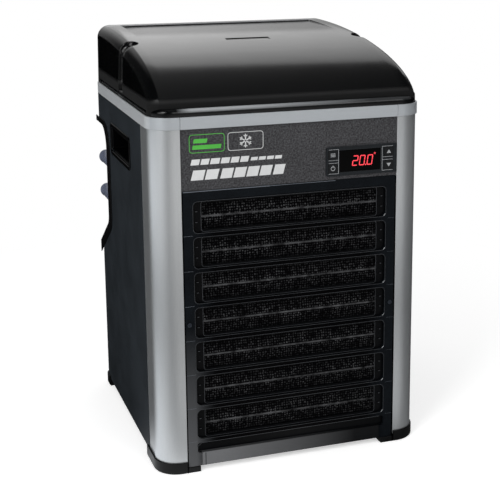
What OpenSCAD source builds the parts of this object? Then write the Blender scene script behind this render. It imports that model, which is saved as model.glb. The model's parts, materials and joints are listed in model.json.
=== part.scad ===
// Aquarium chiller: a compressor cooler in an upright case, with rounded aluminium
// front pillars, a slotted grille over an air filter, a lift-off domed hood and two
// swivelling hose elbows in a niche at the rear left corner.
// X runs across the front, -Y is the front, Z is up from the floor.

/* [Case] */
// Width over the side panels
case_w = 366; // [340:1:400]
// Depth from the front of the pillars to the rear cover
case_d = 367; // [350:1:400]
// Radius of the two front corners
corner_r = 30; // [26:1:32]
// Radius of the two rear corners
rear_r = 18; // [14:1:20]
// Height of the underside of the top rail above the floor
rail_z = 459; // [450:1:480]
// Thickness of the sheet-steel panels
sheet_t = 1.5; // [1:0.1:1.8]
// Gap between pieces that are screwed side by side
seam = 0.3; // [0.2:0.1:0.5]
// Gap round pieces that move
play = 0.3; // [0.2:0.1:0.5]

/* [Feet] */
// Height of the foot caps
foot_h = 16; // [14:1:20]
// Height at which the case stands in the feet
seat_z = 11; // [9:1:12]
// How far the foot caps stand proud of the case
foot_lip = 2; // [1:0.5:3]
// Depth of a front foot along the side
foot_d = 74; // [60:1:90]
// Depth of a rear foot along the side
rear_foot_d = 36; // [30:1:50]
// Width of the step that a foot reaches under the grille
foot_step_w = 18; // [12:1:24]
// Height of that step
foot_step_h = 7.5; // [6:0.5:7.5]
// Set-back of the bottom edge of a foot
foot_edge = 1.5; // [1:0.5:2]

/* [Pillars] */
// Width of a pillar on the front
pillar_w = 36.5; // [33:0.5:45]
// Depth of a pillar on the side
pillar_d = 63.5; // [50:0.5:80]
// Wall of the extruded pillar
pillar_t = 2.1; // [1.8:0.1:3]
// Depth of the rebate along the pillar's side strip
rebate = 0.6; // [0.3:0.1:0.8]
// Depth of the inward returns that carry the front panels
return_d = 11; // [8:1:14]

/* [Top rail] */
// Height of the rail
rail_h = 15.5; // [12:0.5:20]
// How far the rail stands proud of the case
rail_lip = 2; // [1.5:0.5:3]
// Thickness of the rail's upright
rail_t = 2.5; // [2:0.1:3]
// Width of the rail's ledge
ledge_w = 16; // [12:1:20]

/* [Hood] */
// Height of the hood above the rail
hood_h = 81.5; // [70:0.5:95]
// Wall of the moulded hood
hood_t = 3; // [2.5:0.1:4]
// Radius of the rounded side edge
edge_r = 18; // [14:1:22]
// Radius of the rounded rear edge
rear_edge_r = 8; // [6:1:10]
// Lean of the sides, in degrees
draft = 2; // [1:0.5:4]
// Height of the front lip
lip_h = 9.5; // [8:0.5:12]
// Radius of the lip's top edge
lip_r = 5; // [3:0.5:6]
// Distance from the lip's front to the nose of the dome
nose_d = 10; // [8:0.5:14]
// Distance from the crest to the hood's back
crest_back = 20; // [18:1:30]
// Distance from the hood's side to the sunk tray on top
tray_edge = 35; // [28:1:50]
// Depth of the tray at the back
tray_dip = 2.6; // [1.5:0.1:3]
// Distance from the hood's back to where the tray runs out
tray_run = 162; // [120:1:200]
// Length of a finger scoop
scoop_l = 28; // [22:1:36]
// Depth of a finger scoop at its end wall
scoop_dip = 5; // [3:0.5:6]
// Distance from the hood's back to the scoop's end wall
scoop_back = 167; // [140:1:200]
// How far the scoop reaches in over the top edge
scoop_reach = 26; // [20:1:34]
// Width of the blank recess on the crest
mark_w = 62; // [40:1:80]
// Length of the blank recess
mark_l = 12; // [8:1:16]
// Depth of the blank recess
mark_dip = 1.2; // [0.8:0.1:1.5]

/* [Hand-holds] */
// Length of the hand-hold cut-out
hold_l = 121; // [100:1:140]
// Height of the hand-hold cut-out
hold_h = 36; // [30:1:44]
// Corner radius of the cut-out
hold_r = 7; // [5:0.5:10]
// Distance of the hand-hold's middle from the front
hold_y = 193; // [180:1:200]
// Distance from the rail's underside down to the hand-hold's middle
hold_drop = 53.5; // [40:0.5:60]
// Depth of the cup
hold_dip = 26; // [20:1:30]
// Wall of the cup
hold_t = 2; // [1.6:0.1:3]
// Width of the sloping rim inside the cut-out
hold_rim = 4; // [3:0.5:6]

/* [Front panel] */
// Height of the panel and the gap below it
panel_h = 79; // [72:0.5:90]
// Set-back of the panel behind the pillars
panel_set = 1.4; // [1:0.1:2]
// Width of the controller's face
ctrl_w = 99.5; // [90:0.5:105]
// Height of the controller's face
ctrl_h = 38.5; // [34:0.5:42]
// Height of the controller's lower edge above the panel's
ctrl_lift = 5; // [3:0.5:10]
// Depth of the controller's box behind its face
ctrl_d = 58; // [40:1:70]
// Width of the display window
window_w = 58; // [50:0.5:62]
// Height of the display window
window_h = 29; // [26:0.5:31]
// Distance of the window from the face's left edge
window_x = 18; // [16:0.5:20]
// Width of a key
key_w = 13; // [10:0.5:14]
// Height of a key
key_h = 12; // [10:0.5:13]
// Travel of a key
key_travel = 0.6; // [0.4:0.1:0.8]

/* [Grille] */
// Height of the grille's lower edge
grille_z = 8; // [7.5:0.1:9]
// Set-back of the grille behind the pillars
grille_set = 0.6; // [0.3:0.1:1]
// Depth of the grille's rim
grille_d = 13; // [10:0.5:16]
// Thickness of the grille's face
grille_t = 4.5; // [3:0.5:6]
// Width of the stile beside the slots
stile_w = 13.7; // [12:0.1:20]
// Height of the bar between two slots
bar_h = 4.6; // [3.5:0.1:8]
// Corner radius of a slot
slot_r = 9; // [6:0.5:12]
// Number of full slots
slots = 7; // [5:1:7]
// Height of the face above the top slot
head_h = 13.5; // [12:0.5:15]
// Height of the face below the lowest full slot
base_h = 32; // [30:0.5:36]
// Height of the short bottom slot
short_h = 14; // [10:0.5:15]
// Distance from a slot's end to the end of the filter frame's lip
lip_inset = 6.5; // [4:0.5:12]
// Height of the filter frame's lip
tab_h = 18.5; // [15:0.5:19]
// Thickness of the filter frame
frame_t = 3; // [2:0.5:4]
// Margin of the filter windows inside a slot, at the ends
margin_x = 12; // [8:0.5:16]
// Margin of the filter windows inside a slot, above and below
margin_z = 3.5; // [2:0.5:5]
// How far the filter mesh swells towards the front
swell = 2.5; // [1:0.5:3]
// Thickness of the filter mesh
mesh_t = 1; // [0.6:0.1:1.5]
// Radius of the head of a grille pin
pin_head_r = 3; // [2:0.5:4]

/* [Connector bay] */
// How far the bay goes in from the back
bay_d = 72; // [64:0.5:80]
// How far the bay goes in from the side
bay_w = 57; // [50:1:65]
// Distance from the rail's underside down to the bay's roof
bay_drop = 45; // [42:0.5:52]
// Height of the bay
bay_h = 187; // [180:0.5:194]
// Radius of the sweep at the roof
bay_r = 32; // [26:1:40]
// Radius of the sweep at the floor
bay_low_r = 20; // [14:1:28]
// Fall of the bay's floor towards the back, in degrees
bay_fall = 33; // [28:1:38]
// Wall of the bay moulding
bay_t = 3; // [2:0.5:4]
// Width of the bay's flange on the side panel
flange_w = 8; // [6:0.5:10]
// How much wider the flange is in front of the bay
flange_more = 14; // [10:0.5:18]
// How far the mains gland stands out behind the case
gland_reach = 12; // [10:0.5:16]

/* [Hose elbows] */
// Distance of the elbows from the case's side
elbow_x = 12; // [11.5:0.5:18]
// Height of the lower elbow above the bay's floor, as a share of the bay's height
elbow_lift_share = 0.415; // [0.4:0.005:0.44]
// Height from elbow to elbow
elbow_pitch = 52; // [48:0.5:54]
// Radius of the round body of an elbow
ball_r = 10.5; // [10:0.5:11]
// Radius of the hose tail
tail_r = 8; // [6:0.5:8.5]
// Length of the hose tail from the elbow's axis
tail_l = 38; // [30:0.5:38]
// Radius of the water way
water_r = 3.8; // [3:0.1:4]
// Radius of the fixed spigot
spigot_r = 6.5; // [6:0.1:6.8]
// Radial clearance between spigot and elbow
fit = 0.05; // [0.02:0.01:0.09]
// Thickness of the sealing ring's cord
seal_t = 1.3; // [1:0.1:1.4]

/* [Cooling unit] */
// Distance from the blade tips to the shroud's edge
fan_margin = 34; // [32:1:48]
// Gap between blade tips and shroud
tip_gap = 6; // [4:0.5:8]
// Number of blades
blades = 5; // [4:1:7]
// Pitch of the blades, in degrees
blade_pitch = 28; // [20:1:35]
// Radius of the fan's hub
hub_r = 32; // [26:1:36]
// Radius of the fan's shaft
shaft_r = 4; // [3:0.5:5]
// Distance from the slots' ends in to the condenser's fins
coil_margin = 12.5; // [10:0.5:20]
// Distance from fin to fin
fin_pitch = 8; // [6:0.5:8]
// Number of condenser tubes
tubes = 11; // [7:2:13]
// Radius of a condenser tube
tube_r = 5; // [4:0.5:6]
// Radius of the compressor's shell
pump_r = 64; // [56:1:66]
// Height of the compressor's shell
pump_h = 190; // [160:1:200]
// Radius of the heat exchanger's vessel
vessel_r = 44; // [36:1:46]
// Distance from the rail's underside down to the top of the vessel
vessel_drop = 80.5; // [78:0.5:120]
// Radius of the copper pipes
pipe_r = 4; // [3:0.5:5]

/* [Hidden] */
$fn = 64;

// One overrun serves all cuts
over = 1;
// Places of the main planes
side_x = case_w / 2;
front_y = -(rail_lip + case_d + gland_reach) / 2 + rail_lip;
back_y = front_y + case_d;
mid_y = (front_y + back_y) / 2;
rail_top = rail_z + rail_h;
panel_x = side_x - pillar_w;
opening_w = 2 * (panel_x - seam);
panel_z = rail_z - panel_h;
ctrl_z = panel_z + ctrl_lift;
hold_z = rail_z - hold_drop;

// Tray and decks
tray_rim = 20;
tray_z = seat_z + sheet_t;
tray_x = side_x - pillar_t;
tray_front = 18;
panel_flange = 14;

// Hood
hood_gap = 0.5;
hood_x = side_x + rail_lip - rail_t - hood_gap;
hood_front = front_y - rail_lip + rail_t + hood_gap;
hood_back = back_y + rail_lip - rail_t - hood_gap;
hood_r = corner_r + rail_lip - rail_t - hood_gap;
hood_skirt_z = rail_z + rail_t;
hood_top = rail_top + hood_h;
tray_w = 2 * (hood_x - tray_edge);
quarter = 90;
nose_y = hood_front + nose_d;
crest_y = hood_back - crest_back;
nose_z = rail_top + lip_h;
scoop_y = hood_back - scoop_back;
hood_stations = 9;
hood_fn = 32;
slice_t = 0.02;

// Hood crest: a quarter ellipse from the nose to the highest point
function crest_a() = crest_y - nose_y;
function crest_b() = hood_top - nose_z;
function crest_point(t) = [crest_y - crest_a() * cos(t), nose_z + crest_b() * sin(t)];
function crest_height(y) =
  nose_z + crest_b() * sqrt(1 - pow((crest_y - y) / crest_a(), 2));
function crest_normal(t) =
  let (ny = -cos(t) / crest_a(), nz = sin(t) / crest_b(), n = norm([ny, nz])) [ny / n, nz / n];
function lean_in(z) = (z - rail_top) * tan(draft);

// Front panel
panel_top = rail_z - seam;
panel_t = 2;
ctrl_x = panel_x - seam - ctrl_w;
ctrl_proud = 1;
ctrl_r = 2;
ctrl_face_t = 2.5;
box_inset = 1.5;
box_t = 3;
window_dip = 0.8;
key_gap = 0.35;
key_proud = 0.5;
key_r = 1.5;
key_t = 4;
key_margin = 2.2;
keys_left_x = ctrl_x + (window_x - key_w) / 2;
keys_right_x = ctrl_x + window_x + window_w + (ctrl_w - window_x - window_w - key_w) / 2;
key_low_z = ctrl_z + key_margin + key_margin;
key_high_z = ctrl_z + ctrl_h - key_h - key_margin - key_margin;

// Grille
grille_top = panel_z - seam;
grille_r = 2;
grille_face = front_y + grille_set;
grille_back = grille_face + grille_d;
grille_wall = 5;
slot_top = grille_top - head_h;
slot_w = opening_w - 2 * stile_w;
pitch = (slot_top - grille_z - base_h) / slots;
slot_h = pitch - bar_h;
lip_w = slot_w - 2 * lip_inset;
mesh_z = grille_z + tab_h + margin_z;
frame_x = slot_w / 2 + grille_wall / 2;
frame_y = grille_face + grille_t + play;
pin_row = 3;
pin_drop = 1.4;
pin_z = slot_top - pin_row * pitch - slot_h / 2 - pin_drop;
pin_r = 1.4;
pin_x = opening_w / 2 - grille_wall - pin_r - play;
pin_dome = 1;
tab_r = 2;

// Bay outline grows by the walls round it
bay_y = back_y - bay_d;
bay_top = rail_z - bay_drop;
bay_z = bay_top - bay_h;
bay_x = -side_x + bay_w;
bay_end = back_y;
bay_rim = 1.2;

// Elbows
elbow_at = -side_x + elbow_x;
elbow_y = back_y + gland_reach - ball_r;
socket_r = 9.5;
socket_l = bay_d - 2 * ball_r - spigot_r;
nut_r = 11;
nut_t = 6;
socket_end = bay_y + socket_l;
function nut_seat(z) = bay_r - sqrt(pow(bay_r, 2) - pow(max(0, z + nut_r - bay_top + bay_r), 2));
way_step = 0.5;
way_wall = 1;
way_r = water_r + way_step;
spigot_end = elbow_y - way_r - way_wall;
seal_back = 7;
collar_r = 9.5;
tail_edge = 1;
tail_root_r = ball_r - tail_edge;
elbow_z = bay_z + bay_h * elbow_lift_share;
elbow_zs = [elbow_z, elbow_z + elbow_pitch];

// Exhaust slots in the rear cover
cover_t = 2;
cover_x = side_x - rear_r - panel_flange - seam;
vent_left = 88;
vent_right = 24;
vent_w = 2 * cover_x - vent_left - vent_right;
vent_x = (vent_left - vent_right) / 2;
vent_h = 8;
vent_pitch = 18;
vent_z = 60;
vents = floor((rail_z - 2 * vent_z) / vent_pitch) + 1;
gland_edge = 30;
gland_x = cover_x - gland_edge;
gland_z = 50;
gland_r = 9;
cable_r = 4;
gland_nut_t = 6;
gland_flange_t = 4;
screw_r = 3.2;
screw_t = 1.6;
screw_edge = 6;

// Condenser and fan
fin_t = 0.8;
coil_d = 40;
coil_gap = 6;
coil_front = grille_back + coil_gap;
coil_back = coil_front + coil_d;
coil_z = tray_z;
coil_top = panel_z - grille_d;
fins = floor((slot_w - 2 * coil_margin) / fin_pitch);
end_x = fins * fin_pitch / 2;
tube_pitch = (coil_top - coil_z) / tubes;
tube_reach = end_x + tube_r;
coil_mid = (coil_front + coil_back) / 2;
function tube_z(i) = coil_z + tube_pitch * (i + 1 / 2);
shroud_lip = 18;
shroud_x = end_x + shroud_lip;
shroud_y = coil_back;
ring_d = 28;
ring_t = 2;
fan_r = shroud_x - fan_margin;
fan_share = 0.54;
fan_z = coil_z + (coil_top - coil_z) * fan_share;
ring_r = fan_r + tip_gap;
fan_set = 18;
fan_y = shroud_y + fan_set;
hub_d = 30;
blade_t = 2.5;
blade_w = 46;
motor_r = 38;
motor_l = 50;
motor_gap = 4;
motor_y = fan_y + hub_d / 2 + motor_gap;
arm_w = 10;
arm_t = 3;
arm_r = ring_r + arm_w;
bracket_y = motor_y + motor_l / 3;

// Compressor, vessel and pipes
pump_side = 103;
pump_back = 100;
pump_x = side_x - pump_side;
pump_y = back_y - pump_back;
grommet_h = 14;
grommet_r = 9;
grommet_reach = 52;
leg_t = 3;
pump_z = tray_z + grommet_h + leg_t;
pump_fillet = 28;
weld_t = 3;
weld_lip = 3;
weld_share = 0.55;
cover_shares = [0.25, 0.5];
seam_share = 0.8;
pump_stub_h = 16;
pump_top = pump_z + pump_h - weld_t + pump_stub_h;
vessel_side = 79;
vessel_gap = 13;
vessel_x = -side_x + vessel_side;
vessel_y = bay_y - bay_t - vessel_gap - vessel_r - weld_lip;
stool_h = 46;
stool_t = 2;
stool_w = 76;
vessel_z = tray_z + stool_h;
vessel_h = rail_z - vessel_drop - vessel_z;
vessel_fillet = 12;
water_pipe_r = 7;
bend_r = 16;
pipe_high = pump_top + 2 * bend_r;
box_l = 120;
box_d = 46;
box_h = 100;
box_gap = 5.5;
box_set = 150;
box_z = hold_z - hold_h / 2 - hold_rim - box_gap - box_h;
box_y = front_y + box_set;
drier_r = 11;
drier_h = 70;
drier_pitch = 124;
drier_back = 18;
drier_drop = 123.5;
drier_x = vessel_x + drier_pitch;
drier_y = back_y - drier_back;
drier_z = vessel_z + vessel_h - drier_drop;
probe_r = 5;
probe_h = 30;

// Rounded rectangle about the origin, w by d
module round_rect(w, d, r) {
  square([w, d - 2 * r], center = true);
  square([w - 2 * r, d], center = true);
  for (x = [-1, 1], y = [-1, 1])
    translate([x * (w / 2 - r), y * (d / 2 - r)]) circle(r);
}

// Case outline in plan, drawn in by inset
module case_outline(inset, r) {
  translate([0, mid_y]) round_rect(case_w - 2 * inset, case_d - 2 * inset, r - inset);
}

// Straight slab from z0 to z1 of a plan outline
module slab(z0, z1) {
  translate([0, 0, z0]) linear_extrude(z1 - z0) children();
}

// Box from corner a to corner b
module block(a, b) {
  translate(a) cube(b - a);
}

// Upright plate that faces -Y: an outline drawn in X and Z, from y0 back to y1
module upright(y0, y1) {
  translate([0, y1, 0]) rotate([90, 0, 0]) linear_extrude(y1 - y0) children();
}

// Cylinder along +Y from y0 to y1
module rod_y(x, z, y0, y1, r) {
  translate([x, y0, z]) rotate([-90, 0, 0]) cylinder(h = y1 - y0, r = r);
}

// Pipe through points with square corners, each turned in a quarter bend
module pipe(points, r, bend) {
  $fn = 20;
  last = len(points) - 1;
  for (i = [0:last - 1]) {
    u = (points[i + 1] - points[i]) / norm(points[i + 1] - points[i]);
    a = points[i] + (i == 0 ? 0 : bend) * u;
    b = points[i + 1] - (i == last - 1 ? 0 : bend) * u;
    run_between(a, b, u, r);
  }
  for (i = [1:last - 1]) {
    u = (points[i] - points[i - 1]) / norm(points[i] - points[i - 1]);
    v = (points[i + 1] - points[i]) / norm(points[i + 1] - points[i]);
    w = cross(-v, u);
    c = points[i] - bend * u + bend * v;
    multmatrix([
      [-v.x, u.x, w.x, c.x],
      [-v.y, u.y, w.y, c.y],
      [-v.z, u.z, w.z, c.z],
      [0, 0, 0, 1]
    ]) rotate_extrude(angle = 90) translate([bend, 0]) circle(r);
  }
}
module run_between(a, b, u, r) {
  turn = u.z > 0.5 ? [0, 0, 0] : u.z < -0.5 ? [180, 0, 0]
    : u.y > 0.5 ? [-90, 0, 0] : u.y < -0.5 ? [90, 0, 0]
    : u.x > 0.5 ? [0, 90, 0] : [0, -90, 0];
  translate(a) rotate(turn) cylinder(h = norm(b - a), r = r);
}

// Base tray: pressed steel pan, drawn back behind the grille
module tray_outline(inset) {
  difference() {
    case_outline(pillar_t + inset, corner_r);
    translate([-panel_x - seam - inset, front_y])
      square([2 * (panel_x + seam + inset), tray_front + inset]);
  }
}
module base_tray() {
  color("dimgray") difference() {
    slab(seat_z, seat_z + tray_rim) tray_outline(0);
    slab(tray_z, seat_z + tray_rim + over) tray_outline(sheet_t);
  }
}

// Foot: a corner cap with an upstanding lip that wraps the case
module foot_outline(inset, long) {
  intersection() {
    case_outline(inset - foot_lip, corner_r);
    translate([-side_x - foot_lip, front_y - foot_lip + inset])
      square([pillar_w + foot_lip - inset, long - inset]);
  }
}
module front_foot() {
  step_x = -panel_x + foot_step_w;
  color("#141414") difference() {
    union() {
      slab(0, foot_edge) foot_outline(foot_edge, foot_d);
      slab(foot_edge, foot_h) foot_outline(0, foot_d);
      block([-panel_x - over, front_y - foot_lip + foot_edge, 0],
            [step_x, front_y + tray_front + over, foot_step_h]);
    }
    slab(seat_z, foot_h + over) case_outline(0, corner_r);
  }
}
module rear_foot() {
  w = pillar_w + foot_lip;
  color("#141414") difference() {
    union() {
      slab(0, foot_edge) rear_foot_outline(foot_edge, w);
      slab(foot_edge, foot_h) rear_foot_outline(0, w);
    }
    slab(seat_z, foot_h + over) case_outline(0, rear_r);
  }
}
module rear_foot_outline(inset, w) {
  intersection() {
    case_outline(inset - foot_lip, rear_r);
    translate([-side_x - foot_lip, back_y + foot_lip - rear_foot_d])
      square([w - inset, rear_foot_d - inset]);
  }
}
module foot_front_left() { front_foot(); }
module foot_front_right() { mirror([1, 0, 0]) front_foot(); }
module foot_rear_left() { rear_foot(); }
module foot_rear_right() { mirror([1, 0, 0]) rear_foot(); }

// Pillar: an extrusion round the corner, with returns for the panels
module pillar() {
  color("silver") slab(seat_z, rail_z) {
    difference() {
      intersection() {
        case_outline(0, corner_r);
        translate([-side_x, front_y]) square([pillar_w, pillar_d]);
      }
      case_outline(pillar_t, corner_r);
      translate([-side_x - over, front_y + corner_r])
        square([rebate + over, pillar_d]);
    }
  }
  color("silver") slab(seat_z + tray_rim + seam, rail_z) {
    translate([-panel_x - pillar_t, front_y + pillar_t]) square([pillar_t, return_d]);
    translate([-side_x + pillar_t, front_y + pillar_d - pillar_t]) square([return_d, pillar_t]);
  }
}
module pillar_left() { pillar(); }
module pillar_right() { mirror([1, 0, 0]) pillar(); }

// Side panel: folded sheet from the pillar round the rear corner to a flange
module side_skin() {
  color("#24282c") difference() {
    slab(seat_z, rail_z) intersection() {
      difference() {
        case_outline(0, rear_r);
        case_outline(sheet_t, rear_r);
      }
      translate([-side_x - over, front_y + pillar_d + seam])
        square([rear_r + panel_flange + over, case_d]);
    }
    hold_cut();
  }
}
module hold_cut() {
  translate([-side_x - over, 0, 0]) rotate([90, 0, 90])
    linear_extrude(sheet_t + hold_dip)
      translate([front_y + hold_y, hold_z]) round_rect(hold_l, hold_h, hold_r);
}
module side_panel_left() {
  color("#24282c") difference() {
    side_skin();
    bay_solid(bay_t + seam, -side_x - over, bay_x + bay_t);
  }
}
module side_panel_right() { mirror([1, 0, 0]) side_skin(); }

// Hand-hold cup: a moulded pocket glued behind the cut-out, with a rim inside it
module cup_body(x0, x1, grow) {
  translate([x0, 0, 0]) rotate([90, 0, 90]) linear_extrude(x1 - x0)
    translate([front_y + hold_y, hold_z])
      round_rect(hold_l + 2 * grow, hold_h + 2 * grow, hold_r + grow);
}
module hand_hold() {
  skin_x = -side_x + sheet_t;
  color("#0c0c0d") difference() {
    union() {
      cup_body(skin_x, skin_x + hold_t, hold_rim);
      cup_body(-side_x + hold_t / 4, skin_x + hold_t, -seam);
      cup_body(skin_x, skin_x + hold_dip, hold_t - hold_rim);
    }
    cup_body(-side_x - over, skin_x + hold_dip - hold_t, -hold_rim);
    cup_body(-side_x - over, -side_x + hold_t / 2, -hold_rim / 2);
  }
}
module hand_hold_left() { hand_hold(); }
module hand_hold_right() { mirror([1, 0, 0]) hand_hold(); }

// Bay: the niche in the rear left corner, with a floor that falls to the back and a side flange
module bay_outline(grow) {
  high_y = bay_y + bay_r;
  high_z = bay_top - bay_r;
  low_y = bay_y + bay_low_r;
  run = bay_end - low_y;
  low_z = bay_z + run * tan(bay_fall) + bay_low_r / cos(bay_fall);
  edge_y = low_y - (bay_low_r + grow) * sin(bay_fall);
  edge_z = low_z - (bay_low_r + grow) * cos(bay_fall);
  far = bay_end + bay_d;
  translate([high_y, high_z]) circle(bay_r + grow);
  translate([low_y, low_z]) circle(bay_low_r + grow);
  polygon([[bay_y - grow, high_z], [bay_y - grow, low_z], [low_y, low_z], [edge_y, edge_z],
           [far, edge_z - (far - edge_y) * tan(bay_fall)], [far, bay_top + grow],
           [high_y, bay_top + grow], [high_y, high_z]]);
}
module bay_solid(grow, x0, x1) {
  translate([x0, 0, 0]) rotate([90, 0, 90]) linear_extrude(x1 - x0) bay_outline(grow);
}
module bay_flange(x0, x1) {
  for (more = [0, flange_more]) translate([0, -more, 0]) bay_solid(flange_w, x0, x1);
}
module connector_bay() {
  edge_x = -side_x - bay_rim;
  color("#111213") difference() {
    union() {
      bay_solid(bay_t, edge_x, bay_x + bay_t);
      bay_flange(edge_x, -side_x);
    }
    bay_solid(0, edge_x - over, bay_x);
    block([edge_x - over, bay_end, bay_z - bay_d], [bay_x + bay_d, back_y + bay_d + bay_d, bay_top + bay_d]);
    for (z = elbow_zs) rod_y(elbow_at, z, bay_y - bay_t - over, socket_end, socket_r + fit);
  }
}

// Rear cover: flat plate with rows of exhaust slots over the fan
module vent_row() {
  square([vent_w - vent_h, vent_h], center = true);
  for (x = [-1, 1]) translate([x * (vent_w - vent_h) / 2, 0]) circle(vent_h / 2);
}
module rear_cover() {
  color("#1b1d1f") difference() {
    upright(back_y - cover_t, back_y) difference() {
      translate([-cover_x, seat_z]) square([2 * cover_x, rail_z - seat_z]);
      for (i = [0:vents - 1])
        translate([vent_x, vent_z + vent_h + i * vent_pitch]) vent_row();
      translate([gland_x, gland_z]) circle(gland_r);
    }
    bay_solid(bay_t + seam, -side_x - over, bay_x + bay_t + seam);
  }
}
module rear_cover_screws() {
  z_low = seat_z + foot_h;
  z_high = rail_z - screw_edge - screw_r;
  color("silver")
    for (x = [-cover_x + screw_edge, cover_x - screw_edge], z = [z_low, (z_low + bay_z) / 2, z_high])
      difference() {
        rod_y(x, z, back_y, back_y + screw_t, screw_r);
        rod_y(x, z, back_y + screw_t / 2, back_y + screw_t + over, screw_r / 2);
      }
}
module mains_gland() {
  color("#161616") difference() {
    union() {
      rod_y(gland_x, gland_z, back_y - gland_nut_t, back_y + gland_nut_t, gland_r - seam);
      rod_y(gland_x, gland_z, back_y, back_y + gland_flange_t, gland_r + cover_t);
      rod_y(gland_x, gland_z, back_y + gland_nut_t, back_y + gland_reach, gland_r - cover_t);
    }
    rod_y(gland_x, gland_z, back_y - gland_nut_t - over, back_y + gland_reach + over, cable_r);
  }
}

// Top rail: an L-shaped extrusion, mitred into four lengths
module rail_ring() {
  difference() {
    slab(rail_z, rail_top) case_outline(-rail_lip, corner_r);
    slab(rail_z + rail_t, rail_top + over) case_outline(rail_t - rail_lip, corner_r);
    slab(rail_z - over, rail_top + over) case_outline(ledge_w - rail_lip, corner_r);
  }
}
module rail_length(x0, x1, y0, y1) {
  color("#9ea4a8") intersection() {
    rail_ring();
    block([x0, y0, rail_z - over], [x1, y1, rail_top + over]);
  }
}
module rail_front() {
  rail_length(-panel_x + seam / 2, panel_x - seam / 2, front_y - case_d, mid_y);
}
module rail_rear() {
  rail_length(-panel_x + seam / 2, panel_x - seam / 2, mid_y, back_y + case_d);
}
module rail_left() {
  rail_length(-case_w, -panel_x - seam / 2, front_y - case_d, back_y + case_d);
}
module rail_right() { mirror([1, 0, 0]) rail_left(); }

// Top plate lies on the rail's ledge inside the hood's skirt
module top_plate() {
  color("#2a2c2e")
    slab(rail_z + rail_t, rail_z + rail_t + sheet_t)
      case_outline(rail_t - rail_lip + hood_gap + hood_t + hood_gap, corner_r);
}

// Hood form: one hull over balls set along the crest, discs at the back and a foot slab
module hood_form(inset) {
  hull() {
    for (side = [-1, 1]) {
      for (i = [0:hood_stations]) {
        t = quarter * i / hood_stations;
        p = crest_point(t);
        n = crest_normal(t);
        c = [p.x - edge_r * n.x, p.y - edge_r * n.y];
        translate([side * (hood_x - lean_in(p.y) - edge_r), c.x, c.y])
          sphere(edge_r - inset, $fn = hood_fn);
      }
      translate([side * (hood_x - lean_in(hood_top) - edge_r), hood_back - rear_edge_r,
                 hood_top - edge_r])
        rotate([90, 0, 0]) rotate_extrude($fn = hood_fn)
          translate([edge_r - rear_edge_r, 0]) circle(rear_edge_r - inset, $fn = hood_fn);
    }
    translate([0, (nose_y + hood_back) / 2, rail_top])
      linear_extrude(slice_t)
        round_rect(2 * (hood_x - inset), hood_back - nose_y - 2 * inset, edge_r - inset, $fn = hood_fn);
  }
}
module hood_outline(inset) {
  translate([0, (hood_front + hood_back) / 2])
    round_rect(2 * (hood_x - inset), hood_back - hood_front - 2 * inset, hood_r - inset, $fn = hood_fn);
}
module hood_lip() {
  hull() for (a = [0:15:90])
    slab(rail_top, rail_top + lip_h - lip_r * (1 - sin(a)))
      hood_outline(lip_r * (1 - cos(a)));
}

// Finger scoops: the form is cut back to a skin that sinks towards the end wall
module scoop_zone(grow) {
  tip = hood_x - scoop_reach;
  for (side = [-1, 1]) translate([0, 0, rail_top - over]) linear_extrude(hood_h + 2 * over)
    hull() {
      translate([side * (tip + scoop_l / 2), scoop_y - scoop_l / 2]) circle(scoop_l / 2 + grow);
      translate([side * (hood_x + over) - (side < 0 ? 0 : over), scoop_y - scoop_l - grow])
        square([over, scoop_l + 2 * grow]);
    }
}
module hood_slice(y, inset) {
  intersection() {
    hood_form(inset);
    block([-case_w, y, rail_z], [case_w, y + slice_t, hood_top + over]);
  }
}
module scoop_core(inset) {
  hull() {
    hood_slice(scoop_y - scoop_l - slice_t, inset);
    hood_slice(scoop_y, inset + scoop_dip);
  }
}

// Tray on top: everything above a plane that rises towards the back
module tray_cut() {
  run_y = hood_back - tray_run;
  rise = hood_top - tray_dip - crest_height(run_y);
  translate([0, run_y, crest_height(run_y)])
    rotate([atan(rise / (crest_y - run_y)), 0, 0])
      linear_extrude(edge_r) translate([0, (crest_y - run_y) / 2 - edge_r])
        round_rect(tray_w, crest_y - run_y + 2 * edge_r, 2 * mark_dip);
}
module hood() {
  color("#101113") difference() {
    union() {
      hood_form(0);
      hood_lip();
      slab(hood_skirt_z, rail_top) hood_outline(0);
    }
    translate([0, 0, -tray_dip]) difference() {
      hood_form(hood_t);
      scoop_zone(hood_t);
    }
    translate([0, 0, -tray_dip]) intersection() {
      scoop_core(hood_t);
      scoop_zone(hood_t + over);
    }
    translate([0, 0, -tray_dip]) hood_form(hood_t + scoop_dip);
    slab(hood_skirt_z - over, rail_top + over) hood_outline(hood_t);
    tray_cut();
    difference() {
      slab(hood_skirt_z - over, rail_top + play) hood_outline(-edge_r);
      slab(hood_skirt_z - 2 * over, rail_top + play + over) hood_outline(0);
    }
    difference() {
      scoop_zone(0);
      scoop_core(0);
    }
    translate([0, scoop_y - mark_l, crest_height(scoop_y - mark_l / 2) - mark_dip])
      linear_extrude(edge_r) round_rect(mark_w, mark_l, mark_l / 4);
  }
}

// Front panel with the opening for the controller
module front_panel() {
  y0 = front_y + panel_set;
  color("#48484a") upright(y0, y0 + panel_t) difference() {
    translate([-opening_w / 2, panel_z]) square([opening_w, panel_top - panel_z]);
    translate([ctrl_x + box_inset, ctrl_z + box_inset])
      square([ctrl_w - 2 * box_inset, ctrl_h - 2 * box_inset]);
  }
}

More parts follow.
